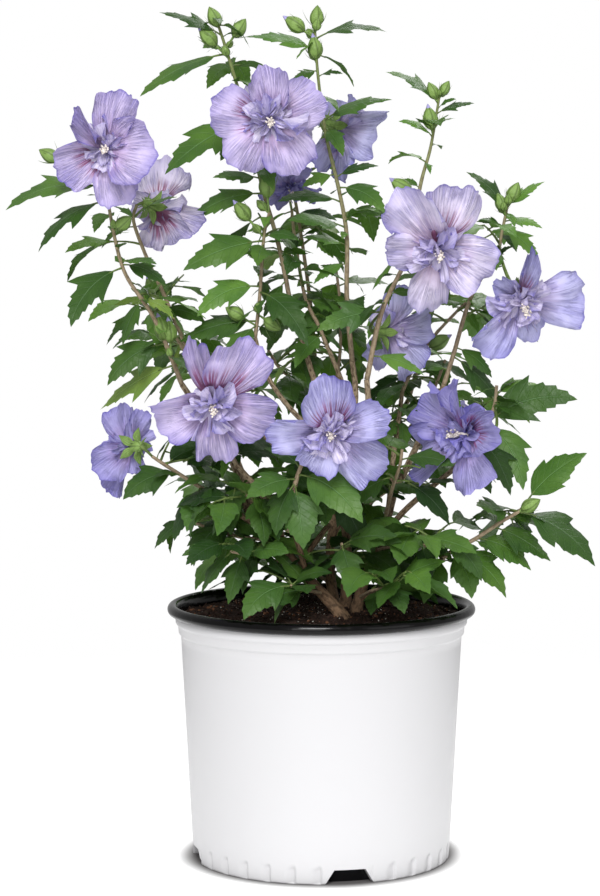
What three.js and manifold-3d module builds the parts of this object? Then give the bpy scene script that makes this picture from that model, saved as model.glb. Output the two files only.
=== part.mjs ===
// A double-flowered rose of sharon in its nursery pot, in millimetres, +Z up.
// The origin is the middle of the pot's flat underside, and the front faces -Y.
//
// The stems rise from the soil and fork into boughs. Each bough ends in a shoot: one stem with
// side twigs, leaves, buds and flowers fused to it. Every solid keeps a small gap to its neighbours.
import * as THREE from 'three';
import { mergeVertices } from 'three/addons/utils/BufferGeometryUtils.js';
import Module from 'manifold-3d';

const wasm = await Module();
wasm.setup();

// ---------------------------------------------------------------- driving dimensions

const GAP = 0.3;              // clearance between neighbouring solids
const SHORTEST_EDGE = 0.005;

const POT_HEIGHT = 232;       // underside to the top of the lip
const LIP_RADIUS = 140;
const LIP_HEIGHT = 10;
const LIP_OVERHANG = 7;       // how far the lip stands out from the wall under it
const FOOT_RADIUS = 117;
const WALL = 2;
const FLOOR = 16;
const BAND_STEP = 2.2;        // the wall is wider by this above each of two shallow steps
const BAND_HEIGHTS = [204, 213];
const RIM_SEGMENTS = 32;      // flats round the pot, its lip and the soil
const NOTCHES = 4;            // drain notches in the foot
const NOTCH_WIDTH = 44;
const NOTCH_HEIGHT = 13;
const NOTCH_SLOPE = 8;        // how far each end of a notch slopes in
const NOTCH_DEPTH = 12;
const FIRST_NOTCH = -78;      // bearing of the notch beside the front, in degrees

const GROUND = 227;           // level top of the soil, round the stems
const SOIL_EDGE = 220;        // where the soil meets the wall
const LEVEL_RADIUS = 78;      // the soil is level out to here

const FLARE = 2.4;            // extra radius of a stem where it leaves the soil
const FLARE_HEIGHT = 14;

const LIMB_SIDES = 6;
const LIMB_STEPS = 1.3;       // rings to each span of a limb's path
const SHOOT_SIDES = 3;
const SHOOT_STEPS = 1;

const LEAF_FALL = 45;         // how far a leaf bends down from its foot to its tip, in degrees
const LEAF_THICKNESS = 0.024; // depth of the midrib as a share of the leaf's length
const STALK_WIDTH = 0.9;      // half width of a leaf stalk
const LEAF_LENGTH = 56;       // of a leaf that the rule sets, low on its shoot
const LEAF_RISES = [-45, 10];
const LEAF_ROLL = 30;         // such a leaf is rolled up to this either way, in degrees
const LEAF_TURN = 190;        // from each leaf up a stem to the next
const TWIG_LENGTHS = [24, 40];
const TWIG_RISES = [-10, 35];
const TWIG_TURN = 144;
const SIDE_LEAF_TURN = 60;    // between a twig and the leaf on either side of it
const SIDE_LEAF_RISES = [-50, 5];
const LOW_CROWN = 400;        // shoots that end below this have broader leaves
const LOW_BREADTH = 1.25;
const CROWN = new THREE.Box3(new THREE.Vector3(-284, -200, GROUND + 3), new THREE.Vector3(250, 200, 774));

const GREEN = 0x4f7d3c;
const BARK = 0x8a7352;
const WHITE = 0xf2f3f6;
const BLACK = 0x17171a;
const SOIL = 0x33241c;

// Bearings are degrees round +Z: 0 is +X, 90 is away from the front, 270 is the front.
// Rises are degrees above level.

// Stems and boughs, each after the one it grows from. A stem with no parent starts in the soil.
const LIMBS = [
  { name: 'trunk_left', radii: [6.6, 4.3],
    path: [[19, -62, GROUND], [8, -57, 240], [-8, -50, 256], [-30, -40, 280], [-53, -33, 304], [-67, -30, 321]] },
  { name: 'trunk_center', radii: [5.2, 3.6],
    path: [[22, -5, GROUND], [23, 0, 257], [23, 8, 293], [18, 16, 329], [16, 20, 359]] },
  { name: 'trunk_right', radii: [5.6, 3.9],
    path: [[31, -28, GROUND], [36, -24, 247], [46, -14, 273], [58, 2, 303], [65, 10, 327]] },
  { name: 'trunk_back', radii: [5.0, 3.7],
    path: [[12, 25, GROUND], [9, 42, 250], [9, 66, 276], [13, 88, 303]] },
  { name: 'cut_stub', from: 'trunk_left', radii: [2.6, 2.4],
    path: [[-21, -45, 270], [-9, -38, 287], [7, -30, 307]] },
  { name: 'bough_far_left', from: 'trunk_left', radii: [3.6, 2.5],
    path: [[-67, -30, 321], [-77, -18, 355], [-96, -8, 390], [-113, -4, 412], [-126, -5, 431]] },
  { name: 'bough_left', from: 'trunk_left', radii: [3.0, 2.3],
    path: [[-58, -32, 310], [-72, 4, 350], [-91, 22, 392], [-106, 28, 424], [-115, 28, 447]] },
  { name: 'bough_low_left', from: 'trunk_left', radii: [2.6, 2.2],
    path: [[-48, -34, 298], [-71, -39, 315], [-92, -39, 331]] },
  { name: 'bough_front_left', from: 'trunk_left', radii: [2.8, 2.2],
    path: [[-32, -39, 283], [-40, -60, 312], [-55, -70, 340], [-75, -80, 365]] },
  { name: 'bough_front', from: 'trunk_left', radii: [2.6, 2.1],
    path: [[-12, -49, 260], [-21, -70, 293], [-27, -88, 321], [-24, -97, 348]] },
  { name: 'bough_inner_left', from: 'trunk_center', radii: [2.5, 1.9],
    path: [[16, 19, 350], [-3, 12, 381], [-33, 8, 414], [-52, 6, 444], [-60, 5, 473]] },
  { name: 'bough_top_left', from: 'trunk_center', radii: [3.0, 2.3],
    path: [[16, 20, 359], [6, 29, 391], [-8, 31, 438], [-20, 28, 478], [-28, 25, 503]] },
  { name: 'bough_middle', from: 'trunk_center', radii: [2.5, 2.0],
    path: [[19, 14, 320], [29, 40, 372], [22, 48, 422], [5, 45, 465]] },
  { name: 'bough_top', from: 'trunk_center', radii: [3.0, 2.5],
    path: [[17, 17, 338], [28, 14, 392], [31, 12, 425], [28, 12, 451]] },
  { name: 'bough_right_front', from: 'trunk_center', radii: [3.0, 2.5],
    path: [[22, 9, 300], [37, -26, 352], [42, -37, 401], [40, -38, 437]] },
  { name: 'bough_right_back', from: 'trunk_right', radii: [2.5, 1.9],
    path: [[61, 6, 315], [67, 34, 366], [72, 44, 398], [75, 45, 422]] },
  { name: 'bough_right', from: 'trunk_right', radii: [3.2, 2.3],
    path: [[65, 10, 327], [82, 8, 364], [99, 6, 401], [111, 5, 430]] },
  { name: 'bough_low_right', from: 'trunk_right', radii: [2.8, 2.3],
    path: [[34, -26, 239], [57, -29, 246], [81, -31, 257], [100, -31, 268]] },
  { name: 'bough_lower_right', from: 'trunk_right', radii: [2.8, 2.3],
    path: [[54, -5, 292], [75, -18, 318], [99, -24, 340], [121, -25, 358]] },
  { name: 'bough_back_left', from: 'trunk_back', radii: [2.9, 2.2],
    path: [[13, 88, 303], [-15, 100, 344], [-53, 112, 381], [-94, 118, 412]] },
  { name: 'bough_back', from: 'trunk_back', radii: [2.9, 2.2],
    path: [[12, 81, 295], [8, 106, 344], [-1, 118, 389], [-4, 120, 429]] },
  { name: 'bough_back_right', from: 'trunk_back', radii: [2.9, 2.2],
    path: [[10, 70, 281], [38, 100, 338], [65, 118, 379], [84, 124, 409]] },
];

// Shoots. Each starts on the limb named by from.
//   leaves   how many leaves the rule sets along the stem, mostly toward the front and the back
//   twigs    how many side twigs with three leaves each the rule adds
//   placed   leaves that draw the crown's outline: [share of the stem, bearing, rise, length, roll]
//   flowers  [share of the stem, place of the heart, bearing, rise, radius, turn]
//   buds     [share of the stem, bearing, rise, stalk, length]
const SHOOTS = [
  { name: 'shoot_far_left', from: 'bough_far_left', seed: 101, radii: [2.2, 1.3], leaves: 4, twigs: 1,
    path: [[-126, -5, 431], [-141, -12, 470], [-154, -20, 498], [-176, -32, 534], [-187, -44, 584], [-191, -46, 620]],
    placed: [
      [0.92, 190, -15, 96, -50], [0.86, 195, -35, 82, -45], [0.61, 205, -45, 77, -35], [0.62, 340, -25, 48, 30],
      [0.46, 215, -65, 46, -20], [0.45, 320, -25, 40, 20], [0.19, 200, -35, 68, -50], [0.09, 165, -30, 84, -40],
      [0.05, 310, 75, 30, 30],
    ],
    flowers: [[0.99, [-188, -75, 639], 270, 0, 50, 10]],
    buds: [[0.19, 190, 75, 5, 22], [0.12, 190, 85, 14, 22], [0.74, 320, 30, 4, 20], [0.92, 180, 30, 43, 20]] },
  { name: 'shoot_left', from: 'bough_left', seed: 211, radii: [2.1, 1.4], leaves: 4, twigs: 2,
    path: [[-115, 28, 447], [-133, 25, 486], [-145, 25, 515], [-157, 20, 541], [-170, 15, 577], [-167, 12, 593]],
    placed: [[0.86, 320, 20, 52, 20], [0.42, 0, 10, 30, 0]],
    flowers: [[0.99, [-152, 24, 590], 50, -20, 48, 0]] },
  { name: 'shoot_low_left', from: 'bough_low_left', seed: 307, radii: [2.0, 1.4], leaves: 2, twigs: 1,
    path: [[-92, -39, 331], [-117, -43, 347], [-142, -43, 363], [-151, -43, 369]],
    placed: [[0.85, 320, 50, 26, 30], [0.48, 190, -25, 57, -40], [0.22, 262, -45, 52, 0], [0.12, 190, -55, 56, -20]],
    flowers: [[0.99, [-177, -35, 377], 146, -6, 48, 0]] },
  { name: 'shoot_front_left', from: 'bough_front_left', seed: 401, radii: [2.0, 1.5], leaves: 0,
    path: [[-75, -80, 365], [-84, -86, 382], [-91, -90, 405], [-92, -92, 420]],
    placed: [[0.3, 160, 0, 50, -40], [0.15, 40, -5, 52, 40]],
    flowers: [[0.99, [-93, -130, 423], 270, -20, 56, 0]] },
  { name: 'shoot_front', from: 'bough_front', seed: 503, radii: [2.0, 1.5], leaves: 0,
    path: [[-24, -97, 348], [-19, -100, 364], [-9, -103, 384], [0, -105, 397]],
    placed: [[0.2, 320, -30, 80, 40], [0.12, 210, -15, 55, -40]],
    flowers: [[0.99, [7, -140, 399], 270, -8, 55, 20]] },
  { name: 'shoot_inner_left', from: 'bough_inner_left', seed: 601, radii: [1.8, 1.3], leaves: 4, twigs: 1,
    path: [[-60, 5, 473], [-56, 5, 508], [-52, 2, 563], [-47, 0, 586]],
    placed: [
      [0.65, 195, -20, 79, -50], [0.4, 195, -25, 68, -50], [0.14, 190, -15, 73, -40], [0.37, 310, -40, 78, 30],
      [0.67, 340, -5, 36, 40],
    ],
    buds: [[0.98, 190, 85, 14, 24], [0.67, 190, 50, 20, 22], [0.1, 200, 30, 14, 20], [0.2, 330, -30, 8, 20]] },
  { name: 'shoot_top_left', from: 'bough_top_left', seed: 701, radii: [2.2, 1.1], leaves: 7, twigs: 1,
    path: [[-28, 25, 503], [-38, 22, 553], [-54, 15, 611], [-66, 10, 665], [-80, 5, 713], [-92, 0, 751], [-97, 0, 762]],
    placed: [
      [0.8, 185, 20, 60, -30], [0.7, 195, -20, 92, -40], [0.35, 210, 0, 52, -30], [0.31, 172, -20, 76, -40],
      [0.51, 210, -30, 100, -30], [0.07, 220, -55, 44, 0],
    ],
    flowers: [[0.6, [-47, -55, 667], 275, -10, 57, 15]],
    buds: [[0.71, 190, 45, 16, 22], [0.82, 190, 65, 3, 20], [0.75, 350, 55, 12, 20]] },
  { name: 'shoot_middle', from: 'bough_middle', seed: 809, radii: [1.9, 1.3], leaves: 5, twigs: 3,
    path: [[5, 45, 465], [-3, 45, 484], [-15, 45, 510], [-24, 45, 561], [-27, 46, 589]],
    placed: [[0.94, 340, -5, 47, 30], [0.7, 240, 45, 24, 0], [0.47, 330, -20, 46, 30], [0.56, 200, 5, 36, -20]],
    flowers: [[0.99, [-30, 55, 613], 292, -55, 34, 0]] },
  { name: 'shoot_top', from: 'bough_top', seed: 907, radii: [2.4, 1.1], leaves: 7, twigs: 1,
    path: [[28, 12, 451], [23, 12, 510], [23, 10, 563], [16, 7, 605], [4, 3, 655], [-3, 0, 705], [-6, 0, 748]],
    placed: [
      [0.97, 0, 5, 66, 20], [0.93, 190, 10, 65, -30], [0.86, 220, -20, 30, -30], [0.84, 340, 5, 24, 30],
      [0.71, 345, 15, 68, 30], [0.55, 200, -20, 36, -40], [0.54, 355, 15, 41, 30], [0.51, 330, -25, 57, 40],
      [0.46, 195, 0, 63, -30], [0.41, 340, 0, 46, 40], [0.37, 215, 5, 66, -30], [0.31, 190, 10, 43, -30],
      [0.26, 200, -30, 38, -30],
    ],
    flowers: [[0.67, [25, 30, 652], 40, -15, 52, 0]],
    buds: [[0.99, 355, 85, 5, 20], [0.97, 180, 35, 12, 22], [0.88, 210, 80, 5, 22]] },
  { name: 'shoot_top_right', from: 'bough_right_front', seed: 1009, radii: [2.4, 1.1], leaves: 5, twigs: 1,
    path: [[40, -38, 437], [53, -38, 497], [76, -32, 548], [88, -20, 610], [97, -16, 643], [105, -12, 689]],
    placed: [
      [0.84, 190, 25, 35, -30], [0.97, 190, 30, 57, -30], [0.93, 350, 15, 36, 30], [0.2, 195, -15, 64, -60],
      [0.32, 140, -70, 30, 0], [0.07, 350, -20, 51, 30], [0.89, 350, 15, 20, 20],
    ],
    flowers: [[0.56, [100, -85, 556], 272, -22, 58, 0], [0.2, [71, 0, 482], 55, -8, 48, 0]],
    buds: [[0.85, 190, 80, 4, 22], [0.97, 190, 65, 4, 17], [0.99, 350, 60, 3, 15], [0.56, 190, 35, 8, 22]] },
  { name: 'shoot_right_back', from: 'bough_right_back', seed: 1103, radii: [1.8, 1.2], leaves: 5, twigs: 3,
    path: [[75, 45, 422], [82, 45, 437], [101, 45, 469], [123, 40, 494], [133, 38, 504]],
    placed: [[0.95, 200, 0, 24, -30], [0.84, 340, -50, 32, 30], [0.38, 190, -60, 26, -20]],
    buds: [[0.43, 350, 30, 5, 22]] },
  { name: 'shoot_right', from: 'bough_right', seed: 1213, radii: [2.2, 1.2], leaves: 4, twigs: 2,
    path: [[111, 5, 430], [120, 5, 459], [135, 0, 510], [157, -5, 548], [162, -5, 568], [167, -5, 592]],
    placed: [
      [0.95, 185, 45, 52, -40], [0.84, 200, 15, 26, -30], [0.84, 330, -40, 46, 40], [0.88, 340, -10, 38, 30],
      [0.98, 355, 35, 42, 30], [0.56, 340, 35, 28, 40], [0.18, 5, -45, 64, 40], [0.22, 350, -40, 44, 40],
      [0.09, 180, 5, 36, -30],
    ],
    flowers: [[0.68, [172, -60, 512], 290, -35, 56, 0]],
    buds: [[0.92, 190, 70, 4, 18], [0.99, 340, 65, 4, 20]] },
  { name: 'shoot_low_right', from: 'bough_low_right', seed: 1301, radii: [2.2, 1.4], leaves: 2, twigs: 1,
    path: [[100, -31, 268], [115, -35, 282], [138, -38, 295], [162, -38, 311], [176, -36, 319], [183, -34, 327]],
    placed: [
      [0.98, 355, 40, 72, 50], [0.8, 355, -35, 86, 30], [0.53, 350, -30, 60, 30], [0.4, 355, -30, 59, 30],
      [0.22, 350, -40, 66, 30], [0.2, 315, -55, 50, 30], [0.7, 220, 15, 51, -40],
    ],
    buds: [[0.78, 350, 30, 4, 20]] },
  { name: 'shoot_lower_right', from: 'bough_lower_right', seed: 1409, radii: [2.2, 1.4], leaves: 3, twigs: 2,
    path: [[121, -25, 358], [137, -25, 382], [149, -22, 398], [155, -20, 413], [157, -20, 431]],
    placed: [
      [0.69, 345, 10, 78, 65], [0.87, 25, 10, 48, 30], [0.48, 325, -55, 73, 50], [0.29, 300, -45, 72, 0],
      [0.2, 205, 30, 70, -30],
    ],
    flowers: [[0.75, [119, -80, 391], 215, 8, 52, 0]] },
  { name: 'shoot_back_left', from: 'bough_back_left', seed: 1511, radii: [2.2, 1.4], leaves: 6, twigs: 5,
    path: [[-94, 118, 412], [-122, 120, 446], [-142, 118, 478], [-152, 112, 502]],
    flowers: [[0.45, [-142, 158, 446], 120, 8, 50, 30]],
    buds: [[0.98, 150, 60, 8, 22]] },
  { name: 'shoot_back_top', from: 'bough_back', seed: 1601, radii: [2.2, 1.3], leaves: 6, twigs: 5,
    path: [[-4, 120, 429], [-8, 114, 486], [-15, 104, 543], [-24, 92, 599], [-33, 84, 636]],
    flowers: [[0.98, [-46, 106, 668], 95, 12, 50, 0]],
    buds: [[0.9, 30, 60, 10, 22], [0.6, 80, 40, 14, 22]] },
  { name: 'shoot_back_middle', from: 'bough_back', seed: 1709, radii: [1.9, 1.4], leaves: 3, twigs: 3,
    path: [[-3, 119, 420], [-20, 130, 426], [-38, 140, 438], [-50, 144, 456]],
    flowers: [[0.98, [-56, 168, 470], 100, 5, 48, 10]] },
  { name: 'shoot_back_right', from: 'bough_back_right', seed: 1801, radii: [2.2, 1.4], leaves: 6, twigs: 5,
    path: [[84, 124, 409], [97, 126, 457], [105, 120, 504], [110, 112, 538]],
    flowers: [[0.98, [112, 134, 560], 80, 5, 52, 40]],
    buds: [[0.7, 20, 50, 12, 22]] },
  { name: 'shoot_back_low_left', from: 'trunk_back', seed: 1901, radii: [2.4, 1.5], leaves: 3, twigs: 5,
    path: [[9, 46, 255], [-19, 88, 276], [-58, 122, 310], [-92, 138, 335], [-113, 144, 354]] },
  { name: 'shoot_back_low_right', from: 'trunk_back', seed: 2003, radii: [2.4, 1.5], leaves: 3, twigs: 5,
    path: [[11, 76, 288], [55, 112, 318], [101, 130, 346], [140, 138, 369], [159, 140, 383]],
    flowers: [[0.9, [152, 164, 396], 60, 5, 48, 20]] },
  { name: 'skirt_back', from: 'trunk_back', seed: 2111, radii: [1.9, 1.3], leaves: 2, twigs: 4,
    path: [[9, 61, 271], [12, 105, 280], [14, 132, 290], [16, 146, 300]],
    flowers: [[0.98, [4, 165, 320], 95, 15, 46, 0]] },
  { name: 'skirt_back_left', from: 'trunk_back', seed: 2213, radii: [1.8, 1.3], leaves: 2, twigs: 4,
    path: [[10, 38, 245], [-20, 62, 256], [-58, 84, 264], [-90, 92, 274]] },
  { name: 'skirt_back_right', from: 'trunk_back', seed: 2309, radii: [1.8, 1.3], leaves: 2, twigs: 4,
    path: [[9, 53, 263], [46, 78, 268], [84, 96, 274], [112, 100, 286]] },
  { name: 'skirt_left_front', from: 'trunk_left', seed: 2411, radii: [1.8, 1.3], leaves: 1, twigs: 2,
    path: [[-37, -38, 288], [-50, -68, 288], [-66, -86, 287], [-80, -94, 290]],
    placed: [[0.45, 225, -55, 44, 0], [0.75, 245, -65, 48, 0], [0.97, 215, -50, 46, 0], [0.98, 300, 10, 40, 0]] },
  { name: 'skirt_left', from: 'trunk_left', seed: 2503, radii: [1.8, 1.3], leaves: 1, twigs: 3,
    path: [[-43, -36, 293], [-72, -20, 294], [-100, -8, 300], [-122, 4, 308]],
    placed: [[0.98, 190, -40, 42, -30], [0.7, 235, -50, 44, 0]] },
  { name: 'skirt_front', from: 'trunk_left', seed: 2609, radii: [1.7, 1.3], leaves: 1, twigs: 2,
    path: [[0, -55, 248], [-14, -80, 254], [-28, -94, 260]],
    placed: [[0.5, 225, -8, 57, -40], [0.95, 212, -25, 62, -40], [0.8, 285, 0, 44, 0]] },
  { name: 'skirt_middle', from: 'trunk_center', seed: 2707, radii: [1.8, 1.3], leaves: 1, twigs: 3,
    path: [[23, -1, 252], [20, -40, 272], [18, -70, 288], [17, -88, 296]],
    placed: [[0.97, 280, -45, 46, 0], [0.9, 340, 5, 56, 40], [0.8, 215, -10, 46, -20]] },
  { name: 'skirt_right_front', from: 'trunk_right', seed: 2801, radii: [1.8, 1.3], leaves: 0, twigs: 3,
    path: [[34, -26, 240], [44, -56, 250], [56, -78, 256], [66, -90, 262]],
    placed: [[0.5, 250, -35, 34, 0], [0.8, 285, -30, 42, 0], [0.97, 345, 25, 48, 40]] },
  { name: 'skirt_right', from: 'trunk_right', seed: 2903, radii: [1.8, 1.3], leaves: 1, twigs: 4,
    path: [[50, -10, 282], [72, -46, 290], [92, -66, 292], [108, -74, 298]],
    placed: [[0.97, 330, -45, 52, 20], [0.6, 280, -50, 40, 0]] },
  { name: 'inner_left', from: 'trunk_left', seed: 3001, radii: [1.8, 1.3], leaves: 2, twigs: 4,
    path: [[-53, -33, 304], [-58, -58, 330], [-66, -80, 338]],
    placed: [[0.9, 200, -45, 50, -10], [0.95, 250, 20, 44, 0]] },
  { name: 'inner_middle', from: 'trunk_center', seed: 3109, radii: [1.8, 1.3], leaves: 2, twigs: 4,
    path: [[22, 9, 302], [12, -26, 328], [6, -56, 340]],
    placed: [[0.97, 260, -35, 48, 0]] },
  { name: 'inner_right', from: 'trunk_right', seed: 3203, radii: [1.8, 1.3], leaves: 2, twigs: 4,
    path: [[56, -1, 298], [62, -46, 338], [68, -72, 362], [70, -80, 378]],
    placed: [[0.8, 340, -5, 50, 30]] },
  { name: 'inner_back_left', from: 'bough_back_left', seed: 3307, radii: [1.9, 1.3], leaves: 3, twigs: 4,
    path: [[-15, 100, 344], [-42, 76, 368], [-70, 66, 396], [-88, 64, 428], [-98, 66, 456]] },
  { name: 'inner_back_right', from: 'bough_back_right', seed: 3407, radii: [1.9, 1.3], leaves: 3, twigs: 4,
    path: [[38, 100, 338], [56, 80, 360], [84, 70, 388], [104, 68, 420], [116, 70, 450]] },
  { name: 'inner_back_top', from: 'bough_back', seed: 3511, radii: [1.9, 1.3], leaves: 4, twigs: 4,
    path: [[-1, 118, 389], [12, 98, 418], [18, 82, 456], [18, 74, 500], [14, 72, 536]] },
];

// ---------------------------------------------------------------- helpers

const radians = THREE.MathUtils.degToRad;

// Repeatable numbers: each call gives one between low and high.
function draws(seed) {
  const modulus = 2147483647;
  let state = seed;
  return (low, high) => {
    state = (state * 16807) % modulus;
    return low + ((high - low) * state) / modulus;
  };
}

function heading(bearing, rise) {
  const level = Math.cos(radians(rise));
  const x = Math.cos(radians(bearing)) * level;
  const y = Math.sin(radians(bearing)) * level;
  return new THREE.Vector3(x, y, Math.sin(radians(rise)));
}

function routeThrough(points) {
  const places = points.map((point) => new THREE.Vector3(...point));
  return new THREE.CatmullRomCurve3(places, false, 'catmullrom', 0.5);
}

function toSolid(geometry) {
  geometry.deleteAttribute('normal');
  geometry.deleteAttribute('uv');
  const merged = mergeVertices(geometry, 1e-4);
  const vertProperties = new Float32Array(merged.attributes.position.array);
  const triVerts = new Uint32Array(merged.index.array);
  return new wasm.Manifold(new wasm.Mesh({ numProp: 3, vertProperties, triVerts }));
}

// The largest closed body of a solid, without loose scraps or sealed hollows.
function mainBody(solid) {
  const bodies = solid.decompose();
  return bodies.reduce((best, body) => (body.volume() > best.volume() ? body : best));
}

function toMesh(name, solid, color, roughness) {
  const { vertProperties, triVerts } = solid.getMesh();
  const geometry = new THREE.BufferGeometry();
  geometry.setAttribute('position', new THREE.BufferAttribute(vertProperties, 3));
  geometry.setIndex(new THREE.BufferAttribute(triVerts, 1));
  geometry.computeVertexNormals();
  const material = new THREE.MeshStandardMaterial({ color, roughness, metalness: 0 });
  const mesh = new THREE.Mesh(geometry, material);
  mesh.name = name;
  return mesh;
}

// A closed solid through rings of points, each ring anticlockwise seen from the next. Rings may
// have different numbers of points: those of the smaller ring are shared out round the larger.
function loft(rings) {
  const corners = rings.flat().flatMap((point) => point.toArray());
  const sides = Math.max(...rings.map((ring) => ring.length));
  let first = 0;
  const numbered = rings.map((ring) => {
    const numbers = Array.from({ length: sides }, (_, k) => first + Math.floor((k * ring.length) / sides));
    first += ring.length;
    return numbers;
  });
  const faces = [];
  const addFace = (a, b, c) => {
    if (a !== b && b !== c && c !== a) {
      faces.push(a, b, c);
    }
  };
  const start = numbered[0];
  const end = numbered[numbered.length - 1];
  for (let k = 2; k < sides; k += 1) {
    addFace(start[0], start[k], start[k - 1]);
    addFace(end[0], end[k - 1], end[k]);
  }
  for (let i = 1; i < numbered.length; i += 1) {
    for (let k = 0; k < sides; k += 1) {
      const next = (k + 1) % sides;
      addFace(numbered[i - 1][k], numbered[i - 1][next], numbered[i][next]);
      addFace(numbered[i - 1][k], numbered[i][next], numbered[i][k]);
    }
  }
  const geometry = new THREE.BufferGeometry();
  geometry.setAttribute('position', new THREE.Float32BufferAttribute(corners, 3));
  geometry.setIndex(faces);
  return toSolid(geometry);
}

function circle(middle, across, upward, radius, sides) {
  return Array.from({ length: sides }, (_, k) => {
    const angle = (2 * Math.PI * k) / sides;
    const point = middle.clone().addScaledVector(across, radius * Math.cos(angle));
    return point.addScaledVector(upward, radius * Math.sin(angle));
  });
}

// A round stem along a route, its radius given at each share of the way.
function stem(route, radiusAt, sides, steps) {
  const { normals, binormals } = route.computeFrenetFrames(steps, false);
  const rings = normals.map((normal, step) => {
    const share = step / steps;
    return circle(route.getPoint(share), normal, binormals[step], radiusAt(share), sides);
  });
  return loft(rings);
}

function taper(radii) {
  return (share) => THREE.MathUtils.lerp(radii[0], radii[1], share);
}

// A straight round rod from one place to another.
function rod(from, to, radii, sides) {
  return stem(new THREE.LineCurve3(from, to), taper(radii), sides, 1);
}

// A thin solid through stations, each with a place, a direction, a face normal, a half width and
// a depth. It starts as an upright edge of no width, is three-sided, and closes in a point.
function blade(stations) {
  return loft(stations.map(({ place, ahead, normal, halfWidth, depth }) => {
    if (depth === 0) {
      return [place];
    }
    const keel = place.clone().addScaledVector(normal, -depth);
    if (halfWidth === 0) {
      return [place.clone().addScaledVector(normal, STALK_WIDTH), keel];
    }
    const across = new THREE.Vector3().crossVectors(ahead, normal);
    const left = place.clone().addScaledVector(across, -halfWidth);
    const right = place.clone().addScaledVector(across, halfWidth);
    return [left, right, keel];
  }));
}

// ---------------------------------------------------------------- leaves, buds and flowers

const PETALS = [0, 1, 2, 3, 4];

// Outlines of a leaf: share of the length and half width. The lobed one has two side lobes, a
// notch and a pointed tip.
const LOBED_LEAF = [[0, 0], [0.47, 0.27], [0.6, 0.15], [1, 0]];
const PLAIN_LEAF = [[0, 0], [0.5, 0.24], [1, 0]];
const TIP_LEAF = [[0, 0.02], [0.5, 0.24], [1, 0]];

// The midrib is an arc that starts above the rise it is given and bends down by LEAF_FALL.
// The roll turns the leaf's face about its midrib.
function leafStations(outline, foot, bearing, rise, length, roll, breadth) {
  const fall = radians(LEAF_FALL);
  const first = radians(rise) + fall / 2;
  return outline.map(([share, halfWidth]) => {
    const slope = first - fall * share;
    const out = ((Math.sin(first) - Math.sin(slope)) / fall) * length;
    const up = ((Math.cos(slope) - Math.cos(first)) / fall) * length;
    const place = heading(bearing, 0).multiplyScalar(out).add(foot);
    place.z += up;
    const slopeDegrees = THREE.MathUtils.radToDeg(slope);
    const ahead = heading(bearing, slopeDegrees);
    return {
      place,
      ahead,
      normal: heading(bearing, slopeDegrees + 90).applyAxisAngle(ahead, radians(roll)),
      halfWidth: halfWidth * breadth * length,
      depth: depthAt(share, length),
    };
  });
}

// Depth of the midrib under the leaf's face: that of the stalk at the foot, and none at the tip.
function depthAt(share, length) {
  if (share === 1) {
    return 0;
  }
  return share === 0 ? STALK_WIDTH : LEAF_THICKNESS * length;
}

function leaf(...measures) {
  return blade(leafStations(...measures));
}

// Two directions square to an axis, the first of them level.
function squareTo(axis) {
  const across = new THREE.Vector3(0, 0, 1).cross(axis).normalize();
  const upward = new THREE.Vector3().crossVectors(axis, across);
  return [across, upward];
}

// Rim of a petal, from its notch with the petal before: degrees from its middle, reach and height
// along the flower's axis as shares of the flower's radius.
const PETAL_RIM = [[-36, 0.56, 0.1], [-29, 0.88, 0.2], [0, 1.04, 0.24], [29, 0.88, 0.2]];

// A double flower in one piece: the calyx, five broad petals opening from it, and the tuft of
// inner petals. Its stalk runs back to the foot.
function flower(foot, heart, bearing, rise, radius, turn, draw) {
  const axis = heading(bearing, rise);
  const [across, upward] = squareTo(axis);
  const spot = (degrees, reach, height) => {
    const place = heart.clone().addScaledVector(axis, height);
    place.addScaledVector(across, reach * Math.cos(radians(degrees)));
    return place.addScaledVector(upward, reach * Math.sin(radians(degrees)));
  };
  const ring = (reach, height) => PETALS.map((k) => spot(turn + 72 * k, reach, height));
  const rim = PETALS.flatMap((k) => {
    const size = radius * draw(0.92, 1.05);
    return PETAL_RIM.map(([degrees, reach, height]) => (
      spot(turn + 72 * k + degrees, size * reach, size * height)));
  });
  const head = loft([
    [spot(0, 0, -16)],
    ring(0.11 * radius, -0.02 * radius),
    rim,
    ring(0.26 * radius, 0.2 * radius),
    [spot(0, 0, 0.42 * radius)],
  ]);
  return head.add(rod(foot, spot(0, 0, -9), [1.3, 1.8], 3));
}

// A plump pointed bud on its stalk.
function bud(foot, bearing, rise, stalk, length) {
  const axis = heading(bearing, rise);
  const [across, upward] = squareTo(axis);
  const ringAt = (distance, radius) => {
    const middle = foot.clone().addScaledVector(axis, distance);
    return circle(middle, across, upward, radius, 4);
  };
  const tip = foot.clone().addScaledVector(axis, stalk + length);
  return loft([
    ringAt(0, 1.1),
    ringAt(stalk + 0.1 * length, 1.2),
    ringAt(stalk + 0.5 * length, 0.33 * length),
    [tip],
  ]);
}

// ---------------------------------------------------------------- the pot and its soil

function lathe(profile, segments) {
  const points = profile.map(([radius, height]) => new THREE.Vector2(radius, height));
  const geometry = new THREE.LatheGeometry(points, segments);
  geometry.rotateX(Math.PI / 2);
  return geometry;
}

const WALL_TOP = POT_HEIGHT - LIP_HEIGHT;
const WALL_RADIUS = LIP_RADIUS - LIP_OVERHANG;

// Radius of the plain wall at a height, before its two steps.
function wallRadius(height) {
  return THREE.MathUtils.lerp(FOOT_RADIUS, WALL_RADIUS - 2 * BAND_STEP, height / WALL_TOP);
}

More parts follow.
